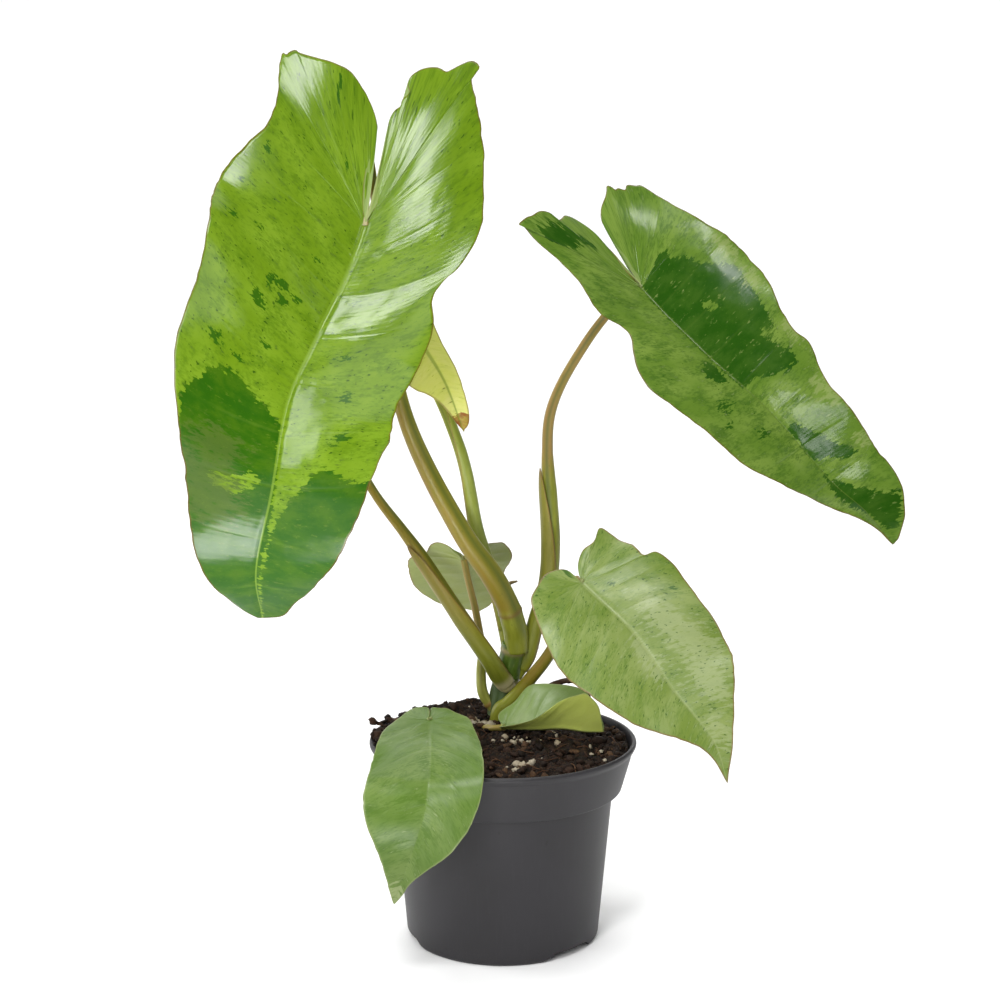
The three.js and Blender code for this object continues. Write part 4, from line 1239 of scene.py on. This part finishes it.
BLADES = {
    "large_left": {
        "grid": (380, 44), "size": 189, "quilt": 0.12, "veins": 9, "lobe_veins": 5, "curls": (0.17, 0.3),
        "wave": (1, 6, 0),
        "stations": [
            (-46, 4, 385), (-58, -20, 320), (-76, -38, 278), (-89, -46, 249), (-96, -50, 212),
            (-104, -44, 177), (-104, -24, 152),
        ],
        "faces": [
            (0.08, -0.9, 0.42), (0.02, -0.95, 0.3), (0, -1, 0.12), (-0.04, -1, 0), (-0.04, -1, -0.08),
            (0, -0.95, -0.2), (0, -0.8, -0.6),
        ],
        "folds": [(6, 6), (14, 14), (14, 12), (12, 10), (10, 8), (8, 8), (4, 4)],
        "halves": [[
            (0, 0), (-8, 3), (-24, 5), (-40, 3), (-46, 4), (-52, 7), (-58.5, 11.5), (-64, 17), (-66, 20.5),
            (-66.5, 22.5), (-67.5, 27.5), (-68, 33), (-69, 40.5), (-70, 42.5), (-69, 45), (-67.5, 46.5),
            (-67.5, 48.5), (-58, 48), (-49, 47), (-36, 48.5), (-25, 55), (-10, 62), (8, 64), (28, 61),
            (48, 55), (63, 54), (76, 51), (92, 44), (112, 38), (132, 33), (150, 26), (168, 16), (181, 9),
            (188, 3), (189, 0),
        ], [
            (0, 0), (-12, 3), (-24, 1), (-34, 0.7), (-42, 1.5), (-48, 1.5), (-52, 3), (-54, 5), (-57, 5.5),
            (-61, 8), (-64.5, 6.5), (-68.5, 7.5), (-72.5, 11.5), (-74.5, 17.5), (-73.5, 21.5), (-75, 24),
            (-79, 28.5), (-80.5, 32), (-78.5, 35), (-74.5, 34), (-71, 33), (-60, 37), (-44, 42), (-28, 45),
            (-10, 48), (4, 45), (14, 39), (20, 38), (30, 43), (46, 44), (64, 43), (88, 45), (104, 41),
            (118, 38), (136, 34), (152, 29), (168, 23), (178, 15), (186, 9), (189, 0),
        ]],
        "sectors": [[
            (83, 30), (88, 37), (96, 43), (105, 42), (112, 42), (116, 48), (116, 62), (160, 62), (192, 8),
            (189, 0), (174, -1), (140, -3), (117, -1), (103, 0), (92, 0), (90, 5), (87, 8), (86, 14),
            (84, 17), (82, 24),
        ], [
            (110, -20), (111, -25), (115, -30), (116, -35), (115, -41), (118, -60), (170, -60), (190, -3),
            (189, 0), (174, -1), (150, -3), (132, -4), (122, -9), (114, -14),
        ]],
        "islands": [[
            (120, 27), (124, 24), (125, 16), (121, 10), (116, 4), (115, 10), (118, 18), (119, 24),
        ], [
            (104, -3), (106, -9), (111, -14), (116, -14), (113, -9), (109, -5),
        ]],
        "flecks": [
            (47, 27, 3, 3.5), (45, 22, 2.5, 4), (45, 14, 2, 4), (50, 19, 2, 4), (55, 30, 3, 3),
            (57, 26, 3, 4), (34, 40, 2, 4), (38, 54, 3, 4), (20, 55, 2, 3), (5, 47, 2.5, 3),
            (-27, 13, 4, 1.5), (-35, 22, 3, 2), (27, 14, 2, 3), (78, 38, 3, 6), (69, 17, 2, 4),
            (78, 26, 1.6, 4), (36, -9, 1.6, 5), (61, -15, 2.5, 6), (78, -22, 5, 4), (98, -25, 4, 6),
        ],
        "patches": [(120, 30, 12, 16), (106, 24, 6, 12), (132, 22, 10, 14)],
        "swells": [(34, -24, 11, 30, -1.6)],
    },
    "right": {
        "grid": (320, 40), "size": 159, "quilt": 0.16, "veins": 9, "lobe_veins": 5, "curls": (0.2, 0.3),
        "wave": (1.2, 5, 1), "rib_relief": 0.25,
        "stations": [
            (36, 16, 325), (60, 6, 292), (87, -6, 265), (114, -14, 241), (140, -20, 212), (156, -20, 198),
            (169, -17, 183),
        ],
        "faces": [
            (0.3, -0.7, 0.65), (0.36, -0.8, 0.52), (0.4, -0.83, 0.45), (0.4, -0.85, 0.42),
            (0.4, -0.88, 0.38), (0.38, -0.9, 0.3), (0.3, -0.95, 0.2),
        ],
        "folds": [(20, 10), (24, 16), (22, 14), (20, 12), (16, 10), (14, 8), (8, 4)],
        "halves": [[
            (0, 0), (-10, 2), (-20, 2), (-31, 4), (-39, 9), (-43, 15), (-42, 21), (-42.5, 23.5),
            (-45.5, 24.5), (-47.5, 27), (-48.5, 31), (-48, 36), (-48.2, 40), (-47, 45.5), (-45.5, 43.5),
            (-43, 43), (-36.5, 41), (-24, 37), (-13, 36), (-3, 38), (5, 37), (12, 31), (18, 31), (28, 40),
            (38, 45), (50, 42), (68, 38), (88, 34), (104, 25), (118, 15), (130, 8), (140, 4), (149, 1.2),
            (155, 0.6), (159, 0),
        ], [
            (0, 0), (-9, 4), (-20, 4.5), (-32, 3), (-38.5, 6), (-43, 12), (-46.5, 15.5), (-45.5, 17.5),
            (-43.5, 18.5), (-43.5, 21), (-41.5, 23.5), (-43, 26.5), (-41, 30.5), (-39, 33.5), (-25, 39),
            (-9, 45), (4, 50), (18, 51), (34, 48), (50, 41), (62, 38), (70, 39), (83, 31), (98, 30),
            (117, 28), (133, 25), (144, 19.5), (152, 12), (157, 5), (159, 0),
        ]],
        "sectors": [[
            (2, 1), (-4, -5), (-4, -8), (-6, -13), (-7, -16), (-3, -21), (1, -20), (6, -27), (11, -29),
            (15, -33), (19, -40), (25, -43), (36, -39), (47, -35), (54, -32), (61, -31), (70, -27),
            (71, -21), (68, -14), (63, -5), (63, 1), (55, 1), (40, 1), (19, 1),
        ], [
            (89, 0), (87, -3), (89, -5), (92, -8), (102, -12), (107, -16), (113, -20), (114, -14),
            (109, -7), (106, -1), (104, 0),
        ], [
            (112, 0), (117, -1), (123, -4), (129, -7), (133, -10), (135, -15), (136, -18), (142, -14),
            (149, -7), (150, -2), (140, 0), (131, 4), (121, 4),
        ], [
            (44, 6), (46, 3), (52, 3), (57, 4), (56, 10), (51, 13), (47, 11),
        ], [
            (-20, 37), (-23, 31), (-27, 25), (-34, 16), (-36, 10), (-20, 23), (-16, 30), (-13, 35),
            (-17, 37),
        ]],
        "islands": [[
            (24, -16), (25, -19), (29, -20), (29, -17), (26, -15),
        ], [
            (51, -27), (54, -32), (60, -36), (66, -36), (67, -30), (61, -26), (54, -25),
        ]],
        "flecks": [(66, 19, 5, 8), (84, 14, 4, 6), (-21, 28, 5, 5), (74, 27, 2, 5)],
        "patches": [(14, -45, 8, 5), (32, -43, 7, 5), (60, -37, 7, 5), (86, -28, 9, 8), (110, -25, 6, 5)],
    },
    "lower_right": {
        "grid": (170, 30), "size": 111, "quilt": 0.2, "veins": 8, "lobe_veins": 3, "curls": (0.35, 0.35),
        "wave": (0.8, 5, 2), "rib_relief": 0.6,
        "stations": [
            (25, 6, 175), (35, -4, 163), (56, -18, 145), (74, -30, 121), (90, -38, 102), (97, -38, 82),
        ],
        "faces": [
            (0.05, -0.85, 0.55), (0.08, -0.88, 0.5), (0.1, -0.92, 0.36), (0.1, -0.95, 0.25),
            (0.1, -0.98, 0.12), (0.05, -1, 0),
        ],
        "folds": [(8, 8), (12, 10), (12, 10), (10, 8), (8, 6), (4, 4)],
        "halves": [[
            (0, 0), (-8, 1.5), (-11, 6), (-11, 12), (-8, 18), (-5, 24), (0, 27), (7, 31), (14, 34),
            (22, 36), (33, 36), (46, 32), (60, 26), (72, 18), (84, 10), (96, 4), (104, 1.5), (111, 0),
        ], [
            (0, 0), (-8, 3.5), (-13, 9), (-14, 15), (-18, 21), (-14, 24), (-8, 26), (2, 28), (11, 28),
            (14, 33), (22, 34), (33, 32), (47, 32), (58, 31), (70, 28), (80, 20), (90, 10), (101, 4),
            (111, 0),
        ]],
        "flecks": [
            (8, -9, 1.5, 2.5), (20, -26, 1.5, 2), (49, 11, 1.5, 2), (70, -8, 1.5, 2), (-28, 3, 3, 3),
        ],
        # The pale patches along the rib and the right half are partly paler tissue and partly painted
        # highlight
        "patches": [(47, -20, 14, 10), (30, -14, 12, 8), (88, -4, 10, 6), (66, -14, 12, 8), (45, 2, 14, 5)],
    },
    "over_rim": {
        "grid": (160, 28), "size": 100, "quilt": 0.15, "veins": 7, "lobe_veins": 2, "curls": (0.3, 0.3),
        "wave": (0.6, 4, 0.5), "rib_relief": 0.05,
        "stations": [
            (-32, -12, 113), (-32, -28, 107), (-31, -48, 102), (-31, -66, 92), (-33, -71, 79),
            (-38, -72, 63), (-46, -66, 38),
        ],
        "faces": [
            (-0.05, -0.5, 0.85), (-0.05, -0.6, 0.8), (-0.05, -0.75, 0.65), (-0.05, -0.95, 0.3),
            (-0.05, -1, 0.05), (-0.05, -1, -0.05), (-0.05, -0.98, -0.1),
        ],
        "folds": [(4, 4), (6, 6), (8, 8), (10, 10), (10, 10), (10, 10), (6, 6)],
        "halves": [[
            (0, 0), (-6, 0.4), (-9.5, 0.8), (-9.5, 6), (-7, 10), (-2, 14), (6, 19), (20, 23), (38, 25),
            (54, 26), (66, 22), (76, 14), (88, 7), (95, 3), (100, 0),
        ], [
            (0, 0), (-6, 0.4), (-9.5, 0.8), (-9, 4), (-8, 8), (-3, 12), (4, 17), (17, 20), (28, 22),
            (40, 23), (52, 21), (63, 17), (74, 11), (86, 4), (94, 2), (100, 0),
        ]],
        "flecks": [(68, 5, 5, 6), (60, -4, 4, 5), (46, 11, 4, 5), (64, 14, 4, 4), (30, 2, 5, 5)],
        "patches": [(94, 2, 8, 6)],
    },
    "on_soil": {
        "grid": (120, 24), "size": 46, "quilt": 0.2, "veins": 6, "lobe_veins": 2, "curls": (0.1, 0.3),
        "wave": (0.4, 3, 0),
        "stations": [(-5, 6, 94.5), (1, 5, 94.5), (12, 2, 94.5), (26, 1, 95), (37, -2, 94.5), (45, -4, 95)],
        "faces": [(0, -0.1, 1)] * 6,
        "folds": [(10, 40), (20, 50), (45, 56), (66, 56), (76, 54), (70, 50)],
        "halves": [[
            (0, 0), (-2, 3), (4, 6), (12, 9), (20, 13), (30, 19), (39, 21), (44, 17), (45.8, 8), (46, 0),
        ], [
            (0, 0), (-3, 3), (-3, 7), (2, 12), (8, 19), (17, 21), (26, 20), (35, 17), (42, 10), (46, 0),
        ]],
    },
    "small_back": {
        "grid": (120, 24), "size": 59, "quilt": 0.35, "veins": 6, "lobe_veins": 3, "curls": (0.3, 0.3),
        "wave": (0.5, 4, 0),
        "stations": [(-20, 30, 171), (-18, 38, 165), (-15, 60, 148), (-12, 84, 129)],
        "faces": [(-0.05, 0.5, 0.85), (-0.05, 0.5, 0.85), (-0.05, 0.55, 0.83), (-0.05, 0.5, 0.85)],
        "folds": [(8, 8), (10, 10), (10, 10), (6, 6)],
        "halves": [[
            (0, 0), (-7, 6), (-11, 14), (-9, 19), (-3, 21), (5, 22), (14, 20), (25, 16), (40, 12), (52, 7),
            (59, 0),
        ], [
            (0, 0), (-7, 3), (-14, 4), (-18, 8), (-15, 12), (-8, 16), (-3, 24), (6, 27), (20, 28), (36, 26),
            (46, 20), (54, 9), (59, 0),
        ]],
    },
    "young": {
        "grid": (120, 24), "size": 55, "quilt": 0.2, "veins": 6, "lobe_veins": 3, "curls": (2, 2),
        "wave": (0.3, 3, 0),
        "stations": [(-49, 16, 286), (-43, 12, 277), (-34, 8, 265), (-25, 5, 250), (-17, 2, 229)],
        "faces": [(0.1, -0.95, 0.3)] * 5,
        "folds": [(10, 10)] * 5,
        "halves": [[
            (0, 0), (-6, 2), (-9, 7), (-5, 13), (6, 17), (18, 16), (28, 14), (36, 8), (44, 4), (50, 2),
            (55, 0),
        ], [
            (0, 0), (-6, 2), (-9, 6), (-4, 10), (5, 10), (15, 8), (28, 7), (40, 6), (48, 5), (53, 3),
            (55, 0),
        ]],
        "sectors": [[
            (47, -20), (47, 20), (62, 20), (62, -20),
        ]],
    },
    "behind": {
        "grid": (130, 24), "size": 95, "quilt": 0.3, "veins": 7, "lobe_veins": 3, "curls": (0.4, 0.4),
        "wave": (0.8, 5, 0),
        "stations": [(-85, 42, 268), (-91, 40, 253), (-100, 44, 224), (-107, 50, 190), (-113, 52, 162)],
        "faces": [
            (-0.1, -0.9, 0.4), (-0.1, -0.93, 0.35), (-0.1, -0.97, 0.2), (-0.1, -1, 0.05), (-0.1, -1, 0),
        ],
        "folds": [(8, 8), (12, 12), (12, 12), (10, 10), (6, 6)],
        "halves": [[
            (0, 0), (-8, 3), (-18, 4), (-25, 11), (-23, 20), (-13, 27), (0, 29), (16, 29), (34, 26),
            (52, 21), (70, 14), (84, 7), (95, 0),
        ], [
            (0, 0), (-8, 3), (-18, 4), (-24, 10), (-23, 19), (-14, 25), (0, 28), (16, 28), (34, 26),
            (52, 21), (70, 14), (84, 6), (95, 0),
        ]],
    },
}
# Each crumb's x, y and z, and each cluster's x, y, spread and count of grains
CRUMBS_OVER_RIM = [
    (-56.5, 17, 92.4), (-58.3, 15.5, 93.2), (-59.4, 14.5, 94.2), (-54.5, 20, 92.4), (-53, 25, 93),
]
PERLITE_CLUSTERS = [
    (-10, 22, 2.4, 18), (-6, 14, 3, 6), (4, -6, 3, 9), (12, -3, 2.5, 7), (6, -38, 2.2, 8),
    (11, -33, 1.6, 4), (20, 14, 2.5, 4), (40, -20, 6, 3),
]


# The looks of the blades and the stalks

def tinted(start=None, **changes):
    """A leaf's or a stalk's look: another one, or none, with some of its tones and amounts changed. A
    tone is given as a screen colour."""
    tones = {key: colour(*value) if isinstance(value, tuple) else value for key, value in changes.items()}
    return {**(start or {}), **tones}


LIME = tinted(
    base=(109, 143, 24), light=(125, 159, 38), middle=(82, 119, 18), deep=(44, 94, 10), speck=(42, 80, 12),
    rib=(130, 162, 52), patch=(88, 106, 46), under=(150, 170, 96), under_rib=(176, 186, 120),
    margin=(120, 70, 34), mottling=0.65, specks=0.32, shift=0.0, rib_width=1.6, rib_share=0.6, lateral=0.12,
    roughness=0.1, red_margin=0.55,
)
MARBLED = tinted(
    LIME, base=(104, 138, 46), light=(128, 157, 66), middle=(74, 111, 34), deep=(42, 88, 14),
    rib=(100, 126, 46), patch=(164, 180, 108), mottling=0.85, specks=0.12, shift=3.7, rib_width=1.3,
    rib_share=0.5,
)
# On the lower right blade, its pale rib and greyish patches are partly paler tissue, partly painted
# highlight
GREY_LIME = tinted(
    LIME, base=(128, 152, 66), light=(154, 172, 98), middle=(102, 134, 50), deep=(70, 110, 40),
    speck=(66, 100, 34), rib=(172, 186, 122), mottling=0.7, specks=0.36, shift=8.1, rib_width=1.7,
    rib_share=0.4, roughness=0.22, patch=(182, 194, 138), margin=(150, 96, 76), under=(150, 164, 108),
)
SEA_GREEN = tinted(
    GREY_LIME, base=(99, 129, 52), light=(118, 143, 72), middle=(80, 113, 34), speck=(70, 100, 38),
    deep=(88, 120, 42), mottling=0.8, specks=0.22, shift=12.4, margin=(158, 168, 112), rib_share=0.05,
    lateral=0.03,
)
LOOKS = {
    "large_left": ("lime_blade", LIME),
    "right": ("lime_blade", MARBLED),
    "lower_right": ("pale_green_blade", GREY_LIME),
    "over_rim": ("blue_green_blade", SEA_GREEN),
    # Painted light: the underside tone is brighter than the leaf's own, lifting the shaded underside of its
    # folded flap
    "on_soil": ("blue_green_blade", tinted(
        SEA_GREEN, base=(140, 166, 92), light=(158, 180, 114), middle=(122, 152, 72), under=(246, 255, 116),
        shift=15.2, specks=0.0, mottling=0.5,
    )),
    "small_back": ("pale_green_blade", tinted(
        GREY_LIME, base=(150, 166, 78), light=(164, 180, 104), middle=(124, 150, 66), under=(178, 188, 104),
        shift=21.3, specks=0.1, rib_share=0.3,
    )),
    # Painted light: greens far brighter than the leaf's own, for light shining through it in the large
    # blade's shade
    "young": ("yellow_green_blade", tinted(
        LIME, base=(236, 242, 104), light=(246, 246, 142), middle=(220, 230, 90), deep=(160, 100, 48),
        under=(246, 248, 132), speck=(190, 200, 70), mottling=0.4, specks=0.0, shift=25.0, roughness=0.32,
    )),
    "behind": ("blue_green_blade", tinted(SEA_GREEN, shift=30.5)),
}

BROWN_STALK = tinted(
    base=(132, 138, 36), light=(156, 160, 54), dark=(84, 98, 28), brown=(144, 114, 42), rim=(128, 98, 48),
    blush=0.85,
)
GREEN_STALK = tinted(
    base=(150, 162, 58), light=(170, 180, 82), dark=(108, 126, 40), brown=(150, 126, 52),
    rim=(160, 128, 64), blush=0.3,
)
PINK_STALK = tinted(
    base=(160, 164, 68), light=(182, 184, 96), dark=(128, 128, 54), brown=(172, 136, 76),
    rim=(156, 112, 66), blush=0.8,
)
STALK_LOOKS = {
    "large_left": ("brown_leafstalk", BROWN_STALK),
    "behind": ("brown_leafstalk", BROWN_STALK),
    "right": ("brown_leafstalk", tinted(BROWN_STALK, brown=(166, 126, 74))),
    "lower_right": ("brown_leafstalk", BROWN_STALK),
    "young": ("green_leafstalk", GREEN_STALK),
    "over_rim": ("green_leafstalk", GREEN_STALK),
    "small_back": ("pink_leafstalk", PINK_STALK),
    "on_soil": ("pink_leafstalk", PINK_STALK),
}


# The plant

for name, spec in BLADES.items():
    slot, look = LOOKS[name]
    piece_name = f"blade_{name}"
    finish = blade_finish(f"blade {name}", spec, look)
    add_piece(piece_name, blade_mesh(piece_name, spec), finish, [piece_name])

for name, spec in STALKS.items():
    slot, look = STALK_LOOKS[name]
    piece_name = f"stalk_{name}"
    end = BladeForm(BLADES[name]).stalk_end()
    finish = stalk_finish(f"stalk {name}", look)
    add_piece(piece_name, stalk_mesh(piece_name, spec, end), finish, [piece_name])

add_piece("stem", stem_mesh("stem"), stem_finish(), ["stem"])
sheath = rough_rod_mesh("dry_sheath", DRY_SHEATH, 0.3, SHEATH_SEED)
dry = dry_finish("dry sheath", colour(180, 164, 110), colour(116, 88, 54), 1.2)
add_piece("dry_sheath", sheath, dry, ["dry_sheath"])
strip = rough_rod_mesh("bark_strip", BARK_STRIP, 0.4, BARK_SEED)
bark = dry_finish("bark strip", colour(112, 72, 44), colour(46, 28, 18), 2.0)
add_piece("bark_strip", strip, bark, ["bark_strip"])


# The pot and the mix

add_piece("pot", pot_mesh("pot"), pot_finish(), ["pot"])
add_piece("potting_mix", soil_mesh("potting_mix"), mix_finish(), ["soil"])
crumb_tones = [(22, 14, 9), (48, 31, 20), (70, 46, 30), (33, 22, 14), (112, 82, 56)]
crumbs = bits_finish("crumbs", crumb_tones, 1.2, 0.78)
add_piece("mix_crumbs", crumbs_mesh("mix_crumbs"), crumbs)
perlite = bits_finish("perlite", [(166, 150, 122), (220, 210, 188)], 0.9, 0.7)
add_piece("mix_perlite", perlite_mesh("mix_perlite"), perlite)
fibres = bits_finish("coir fibres", [(52, 32, 20), (88, 58, 38), (122, 86, 58)], 0.8, 0.7)
add_piece("mix_fibres", fibres_mesh("mix_fibres"), fibres)


# The stage, the light and the camera

def sweep_mesh(name):
    """A studio sweep: a flat floor that bends up through a quarter circle into a wall."""
    turn = np.linspace(0, np.pi / 2, 24)
    bend_y = SWEEP_START + SWEEP_BEND * np.sin(turn)
    bend_z = SWEEP_BEND - SWEEP_BEND * np.cos(turn)
    y = np.concatenate([[-SWEEP_REACH, 0], bend_y, [SWEEP_START + SWEEP_BEND]])
    z = np.concatenate([[0, 0], bend_z, [SWEEP_REACH]])
    x = np.array([-SWEEP_REACH, SWEEP_REACH], float)
    points = np.stack(np.broadcast_arrays(x[None, :], y[:, None], z[:, None]), -1)
    return make_mesh(name, points.reshape(-1, 3), grid_quads(len(y), 2))


def sweep_finish():
    """Matt white paper with a trace of mottle."""
    material, tree = new_material("studio paper")
    paper = blend(noise(object_place(tree), 3.0), (0.92, 0.92, 0.92, 1), (0.94, 0.94, 0.94, 1))
    return surface(material, {"Base Color": paper, "Roughness": 0.95, "Specular IOR Level": 0.1})


def add_softbox(name, place, aim, size, power, spread=180):
    """A rectangular soft light at a place in mm, turned toward a point, its size the width and height
    in mm and its beam's spread in degrees."""
    light = bpy.data.lights.new(name, "AREA")
    light.shape = "RECTANGLE"
    light.size = size[0] / METRE
    light.size_y = size[1] / METRE
    light.energy = power
    light.spread = math.radians(spread)
    lamp = add_object(name, light)
    lamp.location = Vector(place) / METRE
    lamp.rotation_euler = (Vector(aim) - Vector(place)).to_track_quat("-Z", "Y").to_euler()
    lamp.visible_camera = False


sweep = add_object("studio_sweep", sweep_mesh("studio_sweep"))
sweep.data.materials.append(sweep_finish())

SOFTBOXES = [
    ("key_light", (-900, -810, 1210), (0, 0, 220), (450, 450), 6),
    ("left_strip_light", (-598, -1322, 540), (-80, -40, 230), (260, 640), 8),
    ("high_front_light", (-247, -882, 1276), (-30, -10, 320), (300, 300), 8),
    ("front_fill", (-90, -1350, 860), (60, -15, 140), (560, 560), 3.6),
    ("right_light", (700, -270, 1370), (120, -10, 250), (170, 200), 1.9),
    ("right_front_light", (841, -811, 977), (120, -10, 250), (200, 200), 1.6),
    ("left_side_light", (-1180, 350, 450), (0, 0, 150), (600, 900), 9),
    ("right_side_light", (1300, -100, 450), (0, 0, 150), (600, 900), 1.8),
    ("top_light", (0, 150, 1600), (0, 0, 200), (1200, 1200), 14),
    ("low_reflector", (-72, -242, 42), (-105, -50, 180), (190, 110), 0.1, 50),
    ("backdrop_light", (0, 1300, 1900), (0, 2000, 200), (2000, 900), 26),
]
for softbox in SOFTBOXES:
    add_softbox(*softbox)

world = bpy.data.worlds.new("studio air")
world.use_nodes = True
fill(world.node_tree.nodes["Background"], {"Color": (1, 1, 1, 1), "Strength": 0.05})
bpy.context.scene.world = world
bpy.context.scene.view_settings.view_transform = "Standard"

camera = add_object("camera", bpy.data.cameras.new("camera"))
camera.data.lens = CAMERA_LENS
camera.data.clip_start = 0.05
camera.data.clip_end = 20
back = Vector((0, -math.cos(CAMERA_PITCH), math.sin(CAMERA_PITCH)))
camera.location = (Vector(CAMERA_TARGET) + CAMERA_DISTANCE * back) / METRE
camera.rotation_euler = (math.pi / 2 - CAMERA_PITCH, 0, 0)
bpy.context.scene.camera = camera
